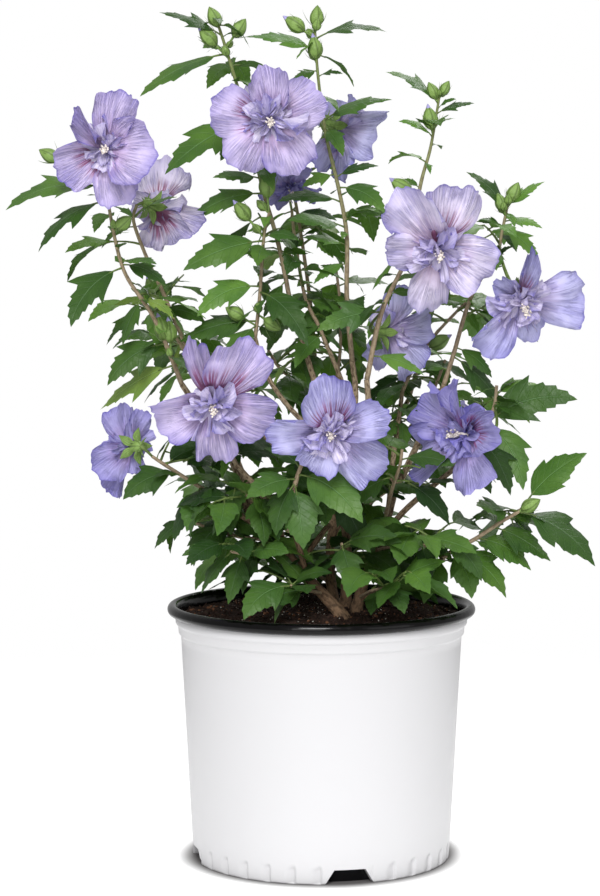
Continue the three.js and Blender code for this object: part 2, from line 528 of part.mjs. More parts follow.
function potShell() {
  const bands = BAND_HEIGHTS.flatMap((height, i) => [
    [wallRadius(height) + i * BAND_STEP, height],
    [wallRadius(height) + (i + 1) * BAND_STEP, height + 2],
  ]);
  const outside = [[0, 0], [FOOT_RADIUS - 1.5, 0], [FOOT_RADIUS, 2], ...bands, [WALL_RADIUS, WALL_TOP]];
  const inside = [
    [WALL_RADIUS - WALL, WALL_TOP],
    [wallRadius(BAND_HEIGHTS[0]) - WALL, BAND_HEIGHTS[0]],
    [FOOT_RADIUS - WALL, FLOOR],
    [0, FLOOR],
  ];
  let shell = toSolid(lathe([...outside, ...inside], RIM_SEGMENTS));
  for (let k = 0; k < NOTCHES; k += 1) {
    shell = shell.subtract(notch(FIRST_NOTCH + (360 / NOTCHES) * k));
  }
  return shell;
}

// A cutter with sloping ends, set through the foot at a bearing.
function notch(bearing) {
  const half = NOTCH_WIDTH / 2;
  const outline = new THREE.Shape();
  outline.moveTo(-half - NOTCH_SLOPE / 2, -5);
  outline.lineTo(half + NOTCH_SLOPE / 2, -5);
  outline.lineTo(half, 0);
  outline.lineTo(half - NOTCH_SLOPE, NOTCH_HEIGHT);
  outline.lineTo(-half + NOTCH_SLOPE, NOTCH_HEIGHT);
  outline.lineTo(-half, 0);
  const geometry = new THREE.ExtrudeGeometry(outline, { depth: 40, bevelEnabled: false });
  geometry.rotateX(Math.PI / 2);
  geometry.rotateZ(radians(bearing + 90));
  const inner = heading(bearing, 0).multiplyScalar(FOOT_RADIUS - NOTCH_DEPTH);
  geometry.translate(inner.x, inner.y, 0);
  return toSolid(geometry);
}

function potLip() {
  const low = WALL_TOP + GAP;
  const inner = WALL_RADIUS - WALL;
  const profile = [
    [inner, low],
    [LIP_RADIUS, low],
    [LIP_RADIUS, POT_HEIGHT - 2.5],
    [LIP_RADIUS - 2.5, POT_HEIGHT],
    [inner + 2, POT_HEIGHT],
    [inner, low],
  ];
  return toSolid(lathe(profile, RIM_SEGMENTS));
}

function soil() {
  const bandInside = wallRadius(BAND_HEIGHTS[0]) - WALL - GAP;
  const profile = [
    [0, FLOOR + GAP],
    [FOOT_RADIUS - WALL - 2 * GAP, FLOOR + GAP],
    [bandInside - GAP, BAND_HEIGHTS[0]],
    [WALL_RADIUS - WALL - 2 * GAP, SOIL_EDGE],
    [LEVEL_RADIUS, GROUND],
    [0, GROUND],
  ];
  return toSolid(lathe(profile, RIM_SEGMENTS));
}

// ---------------------------------------------------------------- growing the plant

const group = new THREE.Group();
const grownLimbs = [];        // every limb so far, enlarged by the gap
const nodes = new Map();      // name to the list of solids that make up the node

function boxesMeet(a, b) {
  const first = a.boundingBox();
  const second = b.boundingBox();
  return [0, 1, 2].every((k) => first.min[k] <= second.max[k] && second.min[k] <= first.max[k]);
}

function meets(a, b) {
  return boxesMeet(a, b) && !a.intersect(b).isEmpty();
}

// A limb or shoot stem, cut clear of every limb before it. One that starts in the soil is run
// down past the surface first, so that its foot is cut level.
function limbSolid({ path, radii, from }, sides, stepsPerSpan) {
  const isRooted = from === undefined;
  const [x, y] = path[0];
  const route = routeThrough(isRooted ? [[x, y, GROUND - FLARE_HEIGHT], ...path] : path);
  const steps = Math.ceil((path.length - 1) * stepsPerSpan);
  const build = (extra) => {
    const radiusAt = (share) => {
      const height = Math.max(route.getPoint(share).z - GROUND, 0);
      const flare = isRooted ? FLARE * Math.exp(-height / FLARE_HEIGHT) : 0;
      return taper(radii)(share) + flare + extra;
    };
    return stem(route, radiusAt, sides, steps);
  };
  const tip = route.getPointAt(1);
  const beyond = tip.clone().addScaledVector(route.getTangentAt(1), GAP);
  const cap = rod(tip, beyond, [radii[1] + GAP, radii[1] + GAP], sides);
  let solid = build(0);
  for (const other of grownLimbs) {
    if (boxesMeet(solid, other)) {
      solid = solid.subtract(other);
    }
  }
  if (isRooted) {
    const below = new THREE.BoxGeometry(80, 80, 80);
    below.translate(x, y, GROUND + GAP - 40);
    solid = solid.subtract(toSolid(below));
  }
  return { solid: mainBody(solid), grown: build(GAP).add(cap) };
}

// The place at a share of the way along a path, whose spans count as equal steps.
function placeOn(path, share) {
  const reach = share * (path.length - 1);
  const i = Math.min(Math.floor(reach), path.length - 2);
  return new THREE.Vector3(...path[i]).lerp(new THREE.Vector3(...path[i + 1]), reach - i);
}

// The leaves that the rule sets along a stem: they alternate between the front and the back.
function ruledLeaves(path, count, breadth, draw) {
  return Array.from({ length: count }, (_, i) => {
    const share = 0.08 + (0.88 * (i + draw(0.1, 0.9))) / count;
    const bearing = 270 + LEAF_TURN * i + draw(-40, 40);
    const rise = draw(...LEAF_RISES);
    const length = LEAF_LENGTH * (1 - 0.25 * share) * draw(0.85, 1.1);
    const roll = draw(-LEAF_ROLL, LEAF_ROLL);
    return [leaf(PLAIN_LEAF, placeOn(path, share), bearing, rise, length, roll, breadth)];
  });
}

// Side twigs, each with a leaf to either side. The twig itself widens into the leaf at its tip.
function ruledTwigs(path, count, breadth, draw) {
  const drawLength = () => LEAF_LENGTH * draw(0.8, 1.05);
  const drawRoll = () => draw(-LEAF_ROLL, LEAF_ROLL);
  return Array.from({ length: count }, (_, i) => {
    const foot = placeOn(path, 0.25 + (0.7 * (i + draw(0.2, 0.8))) / count);
    const bearing = TWIG_TURN * i + draw(0, TWIG_TURN);
    const rise = draw(...TWIG_RISES);
    const tip = foot.clone().addScaledVector(heading(bearing, rise), draw(...TWIG_LENGTHS));
    const last = leafStations(TIP_LEAF, tip, bearing, rise - LEAF_FALL, drawLength(), drawRoll(), breadth);
    const start = { ...last[0], place: foot, halfWidth: 0, depth: STALK_WIDTH * 1.5 };
    const sideLeaves = [-SIDE_LEAF_TURN, SIDE_LEAF_TURN].map((turn, k) => {
      const from = foot.clone().lerp(tip, 0.5 + 0.25 * k);
      const aim = bearing + turn + draw(-15, 15);
      return leaf(PLAIN_LEAF, from, aim, draw(...SIDE_LEAF_RISES), drawLength(), drawRoll(), breadth);
    });
    return [blade([start, ...last]), ...sideLeaves];
  });
}

// Everything on one shoot, in the order in which it claims its space. Each item is a list: its
// first solid carries the others.
function shootPieces({ path, seed, ...shoot }) {
  const draw = draws(seed);
  const isLow = path[path.length - 1][2] < LOW_CROWN;
  const breadth = isLow ? LOW_BREADTH : 1;
  const flowers = (shoot.flowers ?? []).map(([share, heart, ...rest]) => (
    [flower(placeOn(path, share), new THREE.Vector3(...heart), ...rest, draw)]));
  const placed = (shoot.placed ?? []).map(([share, ...rest]) => (
    [leaf(LOBED_LEAF, placeOn(path, share), ...rest, breadth)]));
  const buds = (shoot.buds ?? []).map(([share, ...rest]) => [bud(placeOn(path, share), ...rest)]);
  const leaves = ruledLeaves(path, shoot.leaves, breadth, draw);
  const twigs = ruledTwigs(path, shoot.twigs ?? 0, breadth, draw);
  return [flowers, placed, buds, leaves, twigs];
}

// Whether a piece of the named node lies in the crown's space and clear of the other nodes. A
// piece that the rule set also stays clear of its own node, apart from the stem it grows on.
function isClear(piece, name, isRuled) {
  const { min, max } = piece.boundingBox();
  if (!CROWN.containsBox(new THREE.Box3(new THREE.Vector3(...min), new THREE.Vector3(...max)))) {
    return false;
  }
  for (const [other, solids] of nodes) {
    const shared = other === name ? solids.slice(1) : solids;
    if ((other !== name || isRuled) && shared.some((solid) => meets(solid, piece))) {
      return false;
    }
  }
  return true;
}

nodes.set('pot', [potShell()]);
nodes.set('pot_lip', [potLip()]);
nodes.set('soil', [soil()]);
for (const limb of LIMBS) {
  const { solid, grown } = limbSolid(limb, LIMB_SIDES, LIMB_STEPS);
  nodes.set(limb.name, [solid]);
  grownLimbs.push(grown);
}
for (const shoot of SHOOTS) {
  const { solid, grown } = limbSolid(shoot, SHOOT_SIDES, SHOOT_STEPS);
  nodes.set(shoot.name, [solid]);
  grownLimbs.push(grown);
}

const HAND_SET_LAYERS = 3;    // flowers, placed leaves and buds come before what the rule sets
const allPieces = SHOOTS.map(shootPieces);
allPieces[0].forEach((_, layer) => {
  SHOOTS.forEach(({ name }, i) => {
    for (const [carrier, ...carried] of allPieces[i][layer]) {
      if (isClear(carrier, name, layer >= HAND_SET_LAYERS)) {
        nodes.get(name).push(carrier, ...carried.filter((piece) => isClear(piece, name, true)));
      }
    }
  });
});

const finishes = {
  pot: [WHITE, 0.35],
  pot_lip: [BLACK, 0.4],
  soil: [SOIL, 1],
};
for (const [name, solids] of nodes) {
  const isWood = LIMBS.some((limb) => limb.name === name);
  const [color, roughness] = finishes[name] ?? (isWood ? [BARK, 0.85] : [GREEN, 0.6]);
  const whole = mainBody(wasm.Manifold.union(solids).simplify(SHORTEST_EDGE));
  group.add(toMesh(name, whole, color, roughness));
}

export default group;
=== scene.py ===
"""A double-flowered rose of sharon in its nursery pot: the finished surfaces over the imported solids.

Lengths in the tables are millimetres in the part's own frame: +Z up, the front faces -Y, and the
origin is the middle of the pot's flat underside. Bearings are degrees round +Z from +X, and rises
are degrees above level.
"""
import math

import bmesh
import bpy
import numpy as np
from bpy.props import FloatProperty, FloatVectorProperty, IntProperty, PointerProperty
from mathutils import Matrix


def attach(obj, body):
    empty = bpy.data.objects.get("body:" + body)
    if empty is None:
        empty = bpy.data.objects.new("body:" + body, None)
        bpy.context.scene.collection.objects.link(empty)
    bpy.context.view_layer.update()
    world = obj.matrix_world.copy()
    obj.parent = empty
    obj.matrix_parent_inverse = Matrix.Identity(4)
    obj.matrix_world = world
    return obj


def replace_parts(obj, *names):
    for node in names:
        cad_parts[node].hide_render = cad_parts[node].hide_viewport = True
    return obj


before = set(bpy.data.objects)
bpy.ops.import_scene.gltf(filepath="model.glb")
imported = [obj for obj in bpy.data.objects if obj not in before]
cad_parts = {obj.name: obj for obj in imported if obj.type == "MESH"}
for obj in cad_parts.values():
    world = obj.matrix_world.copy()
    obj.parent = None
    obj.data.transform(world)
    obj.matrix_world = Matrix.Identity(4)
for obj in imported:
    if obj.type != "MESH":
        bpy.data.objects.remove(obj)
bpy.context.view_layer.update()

bl_info = {
    "name": "Rose of Sharon in a Pot",
    "version": (1, 0, 0),
    "blender": (4, 5, 0),
    "location": "3D View > Sidebar > Shrub",
    "description": "Builds the bark, leaves, flowers, soil and pot of a potted rose of sharon",
    "category": "Object",
}

MM = 0.001
WELD = 1e-6                   # points closer than this become one, in metres

# ---------------------------------------------------------------- driving dimensions

POT_HEIGHT = 232
LIP_RADIUS = 140
LIP_HEIGHT = 10
WALL_RADIUS = 133             # of the wall's top, under the lip
WALL_TOP = POT_HEIGHT - LIP_HEIGHT
FOOT_RADIUS = 117
WALL = 2
BOTTOM = 16                   # the inside of the pot's bottom
RECESS = 2                    # how far the middle of the underside is hollowed
BAND_STEP = 2.2               # the wall is wider by this above each of two shallow steps
BAND_HEIGHTS = (204, 213)
FLUTES = 32                   # shallow ribs round the foot
FLUTE_HEIGHT = 17
FLUTE_DEPTH = 2.1
NOTCHES = 4                   # drain notches in the foot
NOTCH_WIDTH = 44
NOTCH_HEIGHT = 13
NOTCH_SLOPE = 8               # how far each end of a notch slopes in
NOTCH_DEPTH = 12
FIRST_NOTCH = -78             # bearing of the notch beside the front
POT_SIDES = 768
LIP_SIDES = 384
SOIL_SIDES = 420

GROUND = 227                  # level top of the soil, round the stems
SOIL_EDGE = 220               # where the soil meets the wall
LEVEL_RADIUS = 78             # the soil is level out to here
FLARE = 1.0                   # extra radius of a stem where it leaves the soil
FLARE_HEIGHT = 14
ROOTED_DEPTH = 8              # how far a stem runs on below the surface
LIMB_SIDES = 24
LIMB_RINGS = 16               # to each span of a limb's path
SHOOT_SIDES = 10
SHOOT_RINGS = 10

LEAF_FALL = 45                # how far a leaf bends down from its foot to its tip
LEAF_LENGTH = 56              # of a leaf that the rule sets, low on its shoot
LEAF_RISES = (-45, 10)
LEAF_ROLL = 30                # such a leaf is rolled up to this either way
LEAF_TURN = 190               # from each leaf up a stem to the next
TWIG_LENGTHS = (24, 40)
TWIG_RISES = (-10, 35)
TWIG_TURN = 144
SIDE_LEAF_TURN = 60           # between a twig and the leaf on either side of it
SIDE_LEAF_RISES = (-50, 5)
LOW_CROWN = 400               # shoots that end below this have broader leaves
LOW_BREADTH = 1.25
CROWN = ((-284, -200, 230), (250, 200, 774))    # lowest and highest corners of the leaves' space
CROWN_MARGIN = 4
STALK_SHARE = 0.13            # of a leaf's length
PETALS = 5
PETAL_GRID = (19, 31)         # rows and columns of a petal
INNER_PETAL_GRID = (9, 9)
LONG_BUD = 21                 # buds longer than this show a violet tip
GOLDEN_ANGLE = 137.5
FINE_SEED = 50000             # keeps the finer growth's numbers apart from those of the main rule
FINE_SIZES = (0.3, 0.6)       # of the leaves in the axils, as shares of LEAF_LENGTH
LOW_FINE_SIZES = (0.55, 0.9)  # and low in the crown
SCREEN_TWIGS = 5              # short twigs on each shoot that fills the back
LOW_SHADE = 0.21              # added to the drawn shade of a leaf low in the crown
HIGH_SHADE = -0.05
PLACED_FLATNESS = 0.45        # share of its fold and twist that a leaf placed one by one keeps
BARE_STEMS = (((-6, 252), (19, 227)), ((-8, 287), (7, 307)))    # the ends of each, as (x, z)
BARE_WIDTH = 5                # no leaf hangs this close before the trunk's foot and the cut stub
BARE_FRONT = -36              # where that space ends, towards the back

# The stage, in metres, millimetres of lens, and watts.
CAMERA_PLACE = (-0.0194, -2.286, 0.553)
CAMERA_FALL = 4.5             # how far the camera looks down
CAMERA_LENS = 101.65
SENSOR_WIDTH = 36
FAR_END = 50                  # how far the camera sees
FLOOR_HALF = 1.5              # half the floor's width
CONTACT_SHADOW_REACH = (0.113, 0.139)  # the floor's painted contact shadow round the foot, from full to none
FADE_REACH = (1.2, 0.45)      # from where the floor is clear to where it is solid
LIGHT_TARGET = (0.0, 0.0, 0.42)
LIGHTS = {                    # place, width and power
    "key": ((-0.18, -2.05, 1.75), 0.8, 43),
    "fill": ((1.7, -1.4, 0.8), 1.4, 6),
    "front": ((-0.4, -2.4, 0.75), 1.0, 13),
    "rim": ((0.5, 1.5, 1.7), 1.0, 14),
}

# Stems, each from the soil, and boughs, each from the end or the side of a stem.
LIMBS = [
    dict(name="trunk_left", radii=[5.2, 4.0],
         path=[[19, -62, GROUND], [8, -57, 240], [-8, -50, 256], [-30, -40, 280], [-53, -33, 304],
               [-67, -30, 321]]),
    dict(name="trunk_center", radii=[5.2, 3.6],
         path=[[22, -5, GROUND], [23, 0, 257], [23, 8, 293], [18, 16, 329], [16, 20, 359]]),
    dict(name="trunk_right", radii=[4.9, 3.7],
         path=[[31, -28, GROUND], [36, -24, 247], [46, -14, 273], [58, 2, 303], [65, 10, 327]]),
    dict(name="trunk_back", radii=[5.0, 3.7],
         path=[[12, 25, GROUND], [9, 42, 250], [9, 66, 276], [13, 88, 303]]),
    dict(name="cut_stub", radii=[2.6, 2.4],
         path=[[-21, -45, 270], [-9, -38, 287], [7, -30, 307]]),
    dict(name="bough_far_left", radii=[3.6, 2.5],
         path=[[-67, -30, 321], [-77, -18, 355], [-96, -8, 390], [-113, -4, 412], [-126, -5, 431]]),
    dict(name="bough_left", radii=[3.0, 2.3],
         path=[[-58, -32, 310], [-72, 4, 350], [-91, 22, 392], [-106, 28, 424], [-115, 28, 447]]),
    dict(name="bough_low_left", radii=[2.6, 2.2],
         path=[[-48, -34, 298], [-71, -39, 315], [-92, -39, 331]]),
    dict(name="bough_front_left", radii=[2.8, 2.2],
         path=[[-32, -39, 283], [-40, -60, 312], [-55, -70, 340], [-75, -80, 365]]),
    dict(name="bough_front", radii=[2.6, 2.1],
         path=[[-12, -49, 260], [-21, -70, 293], [-27, -88, 321], [-24, -97, 348]]),
    dict(name="bough_inner_left", radii=[2.5, 1.9],
         path=[[16, 19, 350], [-3, 12, 381], [-33, 8, 414], [-52, 6, 444], [-60, 5, 473]]),
    dict(name="bough_top_left", radii=[3.0, 2.3],
         path=[[16, 20, 359], [6, 29, 391], [-8, 31, 438], [-20, 28, 478], [-28, 25, 503]]),
    dict(name="bough_middle", radii=[2.5, 2.0],
         path=[[19, 14, 320], [29, 40, 372], [22, 48, 422], [5, 45, 465]]),
    dict(name="bough_top", radii=[3.0, 2.5],
         path=[[17, 17, 338], [28, 14, 392], [31, 12, 425], [28, 12, 451]]),
    dict(name="bough_right_front", radii=[3.0, 2.5],
         path=[[22, 9, 300], [37, -26, 352], [42, -37, 401], [40, -38, 437]]),
    dict(name="bough_right_back", radii=[2.5, 1.9],
         path=[[61, 6, 315], [67, 34, 366], [72, 44, 398], [75, 45, 422]]),
    dict(name="bough_right", radii=[3.2, 2.3],
         path=[[65, 10, 327], [82, 8, 364], [99, 6, 401], [111, 5, 430]]),
    dict(name="bough_low_right", radii=[2.8, 2.3],
         path=[[34, -26, 239], [57, -29, 246], [81, -31, 257], [100, -31, 268]]),
    dict(name="bough_lower_right", radii=[2.8, 2.3],
         path=[[54, -5, 292], [75, -18, 318], [99, -24, 340], [121, -25, 358]]),
    dict(name="bough_back_left", radii=[2.9, 2.2],
         path=[[13, 88, 303], [-15, 100, 344], [-53, 112, 381], [-94, 118, 412]]),
    dict(name="bough_back", radii=[2.9, 2.2],
         path=[[12, 81, 295], [8, 106, 344], [-1, 118, 389], [-4, 120, 429]]),
    dict(name="bough_back_right", radii=[2.9, 2.2],
         path=[[10, 70, 281], [38, 100, 338], [65, 118, 379], [84, 124, 409]]),
]

# Shoots, each from the end or the side of a limb.
#   leaves   how many leaves the rule sets along the stem
#   twigs    how many side twigs with three leaves each the rule adds
#   placed   leaves that draw the crown's outline: (share of the stem, bearing, rise, length, roll)
#   flowers  (share of the stem, place of the heart, bearing, rise, radius, turn)
#   buds     (share of the stem, bearing, rise, stalk, length)
SHOOTS = [
    dict(name="shoot_far_left", seed=101, radii=[2.2, 1.3], leaves=4, twigs=1,
         path=[[-126, -5, 431], [-141, -12, 470], [-154, -20, 498], [-176, -32, 534], [-187, -44, 584],
               [-191, -46, 620]],
         placed=[[0.92, 190, -12, 96, -22], [0.86, 195, -35, 82, -16], [0.61, 205, -45, 77, -35],
                 [0.62, 340, -25, 48, 30], [0.46, 215, -65, 46, -20], [0.45, 320, -25, 40, 20],
                 [0.19, 200, -35, 68, -50], [0.09, 165, -30, 84, -40], [0.05, 310, 75, 30, 30]],
         flowers=[[0.99, [-188, -75, 639], 270, 0, 50, 10]],
         buds=[[0.19, 190, 75, 5, 22], [0.12, 190, 85, 14, 22], [0.74, 320, 30, 4, 20],
               [0.92, 180, 30, 49, 20]]),
    dict(name="shoot_left", seed=211, radii=[2.1, 1.4], leaves=4, twigs=2,
         path=[[-115, 28, 447], [-133, 25, 486], [-145, 25, 515], [-157, 20, 541], [-170, 15, 577],
               [-167, 12, 593]],
         placed=[[0.86, 320, 20, 52, 20], [0.42, 0, 10, 30, 0]],
         flowers=[[0.99, [-152, 24, 590], 50, -20, 48, 0]]),
    dict(name="shoot_low_left", seed=307, radii=[2.0, 1.4], leaves=2, twigs=1,
         path=[[-92, -39, 331], [-117, -43, 347], [-142, -43, 363], [-151, -43, 369]],
         placed=[[0.85, 320, 50, 26, 30], [0.48, 190, -25, 57, -40], [0.22, 262, -45, 52, 0],
                 [0.12, 190, -55, 56, -20]],
         flowers=[[0.99, [-168, -33, 377], 118, -6, 48, 0]]),
    dict(name="shoot_front_left", seed=401, radii=[2.0, 1.5], leaves=0,
         path=[[-75, -80, 365], [-84, -86, 382], [-91, -90, 405], [-92, -92, 420]],
         placed=[[0.3, 160, 0, 50, -40], [0.15, 40, -5, 52, 40]],
         flowers=[[0.99, [-93, -116, 424], 270, -20, 56, 0]]),
    dict(name="shoot_front", seed=503, radii=[2.0, 1.5], leaves=0,
         path=[[-24, -97, 348], [-19, -100, 364], [-9, -103, 384], [0, -105, 397]],
         placed=[[0.2, 320, -30, 80, 40], [0.12, 210, -15, 55, -40], [0.02, 283, -72, 60, 20],
                 [0.06, 215, -62, 52, -20]],
         flowers=[[0.99, [7, -127, 399], 270, -8, 55, 20]]),
    dict(name="shoot_inner_left", seed=601, radii=[1.8, 1.3], leaves=4, twigs=1,
         path=[[-60, 5, 473], [-56, 5, 508], [-52, 2, 563], [-47, 0, 586]],
         placed=[[0.65, 195, -20, 79, -50], [0.4, 195, -25, 68, -50], [0.14, 190, -15, 73, -40],
                 [0.37, 310, -40, 78, 30], [0.67, 340, -5, 36, 40]],
         buds=[[0.98, 190, 85, 14, 24], [0.67, 190, 50, 20, 22], [0.1, 200, 30, 14, 20],
               [0.2, 330, -30, 8, 20]]),
    dict(name="shoot_top_left", seed=701, radii=[2.2, 1.1], leaves=7, twigs=1,
         path=[[-28, 25, 503], [-38, 22, 553], [-54, 15, 611], [-66, 10, 665], [-80, 5, 713],
               [-92, 0, 751], [-97, 0, 762]],
         placed=[[0.8, 185, 20, 60, -30], [0.73, 195, -26, 92, -19], [0.35, 210, 0, 52, -30],
                 [0.31, 172, -20, 76, -40], [0.51, 210, -30, 100, -30], [0.07, 220, -55, 44, 0]],
         flowers=[[0.6, [-47, -55, 667], 275, -10, 57, 15]],
         buds=[[0.71, 190, 45, 16, 22], [0.82, 190, 65, 3, 20], [0.75, 350, 55, 12, 20]]),
    dict(name="shoot_middle", seed=809, radii=[1.9, 1.3], leaves=5, twigs=3,
         path=[[5, 45, 465], [-3, 45, 484], [-15, 45, 510], [-24, 45, 561], [-27, 46, 589]],
         placed=[[0.94, 340, -5, 47, 30], [0.7, 240, 45, 24, 0], [0.47, 330, -20, 46, 30],
                 [0.56, 200, 5, 36, -20]],
         flowers=[[0.99, [-30, 55, 613], 292, -55, 34, 0]]),
    dict(name="shoot_top", seed=907, radii=[2.4, 1.1], leaves=7, twigs=1,
         path=[[28, 12, 451], [23, 12, 510], [23, 10, 563], [16, 7, 605], [4, 3, 655], [-3, 0, 705],
               [-6, 0, 748]],
         placed=[[0.97, 0, 5, 66, 20], [0.93, 190, 10, 65, -30], [0.86, 220, -20, 30, -30],
                 [0.84, 340, 5, 24, 30], [0.71, 345, 15, 68, 30], [0.55, 200, -20, 36, -40],
                 [0.54, 355, 15, 41, 30], [0.51, 330, -25, 57, 40], [0.46, 195, 0, 63, -30],
                 [0.41, 340, 0, 46, 40], [0.37, 215, 5, 66, -30], [0.31, 190, 10, 43, -30],
                 [0.26, 200, -30, 38, -30]],
         flowers=[[0.67, [12, 30, 664], 40, -15, 52, 0]],
         buds=[[0.99, 355, 85, 5, 20], [0.97, 180, 35, 12, 22], [0.88, 210, 80, 5, 22]]),
    dict(name="shoot_top_right", seed=1009, radii=[2.4, 1.1], leaves=5, twigs=1,
         path=[[40, -38, 437], [53, -38, 497], [76, -32, 548], [88, -20, 610], [97, -16, 643],
               [105, -12, 689]],
         placed=[[0.84, 190, 25, 35, -30], [0.97, 190, 30, 57, -30], [0.93, 350, 15, 36, 30],
                 [0.2, 195, -15, 64, -60], [0.32, 140, -70, 30, 0], [0.07, 350, -20, 51, 30],
                 [0.89, 350, 15, 20, 20]],
         flowers=[[0.56, [100, -85, 556], 272, -22, 58, 0], [0.2, [58, 0, 478], 40, -4, 48, 0]],
         buds=[[0.85, 190, 80, 4, 22], [0.97, 190, 65, 4, 17], [0.99, 350, 60, 3, 15],
               [0.56, 190, 35, 8, 22]]),
    dict(name="shoot_right_back", seed=1103, radii=[1.8, 1.2], leaves=5, twigs=3,
         path=[[75, 45, 422], [82, 45, 437], [101, 45, 469], [123, 40, 494], [133, 38, 504]],
         placed=[[0.95, 200, 0, 24, -30], [0.84, 340, -50, 32, 30], [0.38, 190, -60, 26, -20]],
         buds=[[0.43, 350, 30, 5, 22]]),
    dict(name="shoot_right", seed=1213, radii=[2.2, 1.2], leaves=4, twigs=2,
         path=[[111, 5, 430], [120, 5, 459], [135, 0, 510], [157, -5, 548], [162, -5, 568],
               [167, -5, 592]],
         placed=[[0.95, 185, 45, 52, -40], [0.84, 200, 15, 26, -30], [0.84, 330, -40, 46, 40],
                 [0.88, 340, -10, 38, 30], [0.98, 355, 35, 42, 30], [0.56, 340, 35, 28, 40],
                 [0.18, 5, -45, 64, 40], [0.22, 350, -40, 44, 40], [0.09, 180, 5, 36, -30]],
         flowers=[[0.68, [172, -60, 512], 290, -35, 56, 0]],
         buds=[[0.92, 190, 70, 4, 18], [0.99, 340, 65, 4, 20]]),
    dict(name="shoot_low_right", seed=1301, radii=[2.2, 1.4], leaves=2, twigs=1,
         path=[[100, -31, 268], [115, -35, 282], [138, -38, 295], [162, -38, 311], [176, -36, 319],
               [183, -34, 327]],
         placed=[[0.98, 355, 40, 72, 50], [0.8, 355, -35, 86, 30], [0.53, 350, -30, 60, 30],
                 [0.4, 355, -30, 59, 30], [0.22, 350, -40, 66, 30], [0.2, 315, -55, 50, 30],
                 [0.7, 220, 15, 51, -40]],
         buds=[[0.78, 350, 30, 4, 20]]),
    dict(name="shoot_lower_right", seed=1409, radii=[2.2, 1.4], leaves=3, twigs=1,
         path=[[121, -25, 358], [137, -25, 382], [149, -22, 398], [155, -20, 413], [157, -20, 431]],
         placed=[[0.47, 345, 16, 90, 72], [0.87, 25, 10, 48, 30], [0.48, 325, -55, 73, 50],
                 [0.29, 300, -45, 72, 0], [0.2, 205, 30, 70, -30]],
         flowers=[[0.75, [130, -80, 391], 218, 6, 56, 0]]),
    dict(name="shoot_back_left", seed=1511, radii=[2.2, 1.4], leaves=6, twigs=5,
         path=[[-94, 118, 412], [-122, 120, 446], [-142, 118, 478], [-152, 112, 502]],
         flowers=[[0.2, [-98, 160, 398], 110, 2, 48, 30]],
         buds=[[0.98, 150, 60, 8, 22]]),
    dict(name="shoot_back_top", seed=1601, radii=[2.2, 1.3], leaves=6, twigs=5,
         path=[[-4, 120, 429], [-8, 114, 486], [-15, 104, 543], [-24, 92, 599], [-33, 84, 636]],
         flowers=[[0.98, [-46, 106, 668], 95, 12, 50, 0]],
         buds=[[0.9, 30, 60, 10, 22], [0.6, 80, 40, 14, 22]]),
    dict(name="shoot_back_middle", seed=1709, radii=[1.9, 1.4], leaves=3, twigs=3,
         path=[[-3, 119, 420], [-20, 130, 426], [-38, 140, 438], [-50, 144, 456]],
         flowers=[[0.25, [6, 166, 394], 85, 0, 46, 10]]),
    dict(name="shoot_back_right", seed=1801, radii=[2.2, 1.4], leaves=6, twigs=5,
         path=[[84, 124, 409], [97, 126, 457], [105, 120, 504], [110, 112, 538]],
         flowers=[[0.98, [104, 134, 552], 80, 5, 52, 40]],
         buds=[[0.7, 20, 50, 12, 22]]),
    dict(name="shoot_back_low_left", seed=1901, radii=[2.4, 1.5], leaves=3, twigs=5,
         path=[[9, 46, 255], [-19, 88, 276], [-58, 122, 310], [-92, 138, 335], [-113, 144, 354]]),
    dict(name="shoot_back_low_right", seed=2003, radii=[2.4, 1.5], leaves=3, twigs=5,
         path=[[11, 76, 288], [55, 112, 318], [101, 130, 346], [140, 138, 369], [159, 140, 383]],
         flowers=[[0.9, [126, 166, 381], 75, 5, 48, 20]]),
    dict(name="skirt_back", seed=2111, radii=[1.9, 1.3], leaves=2, twigs=4,
         path=[[9, 61, 271], [12, 105, 280], [14, 132, 290], [16, 146, 300]],
         flowers=[[0.98, [-14, 168, 318], 100, 12, 46, 0]]),
    dict(name="skirt_back_left", seed=2213, radii=[1.8, 1.3], leaves=2, twigs=4,
         path=[[10, 38, 245], [-20, 62, 256], [-58, 84, 264], [-90, 92, 274]]),
    dict(name="skirt_back_right", seed=2309, radii=[1.8, 1.3], leaves=2, twigs=4,
         path=[[9, 53, 263], [46, 78, 268], [84, 96, 274], [112, 100, 286]]),
    dict(name="skirt_left_front", seed=2411, radii=[1.8, 1.3], leaves=1, twigs=2,
         path=[[-37, -38, 288], [-50, -68, 288], [-66, -86, 287], [-80, -94, 290]],
         placed=[[0.45, 225, -55, 44, 0], [0.75, 245, -65, 48, 0], [0.97, 215, -50, 46, 0],
                 [0.98, 300, 10, 40, 0]]),
    dict(name="skirt_left", seed=2503, radii=[1.8, 1.3], leaves=1, twigs=3,
         path=[[-43, -36, 293], [-72, -20, 294], [-100, -8, 300], [-122, 4, 308]],
         placed=[[0.98, 190, -40, 42, -30], [0.7, 235, -50, 44, 0]]),
    dict(name="skirt_front", seed=2609, radii=[1.7, 1.3], leaves=1, twigs=2,
         path=[[0, -55, 248], [-14, -80, 254], [-28, -94, 260]],
         placed=[[0.5, 225, -8, 57, -40], [0.95, 212, -25, 62, -40], [0.8, 285, 0, 44, 0],
                 [0.9, 150, 40, 50, 10], [0.35, 165, 42, 58, -10]]),
    dict(name="skirt_middle", seed=2707, radii=[1.8, 1.3], leaves=1, twigs=3,
         path=[[23, -1, 252], [20, -40, 272], [18, -70, 288], [17, -88, 296]],
         placed=[[0.97, 280, -45, 46, 0], [0.9, 340, 5, 56, 40], [0.8, 215, -10, 46, -20],
                 [0.55, 196, -28, 62, -10]]),
    dict(name="skirt_right_front", seed=2801, radii=[1.8, 1.3], leaves=0, twigs=3,
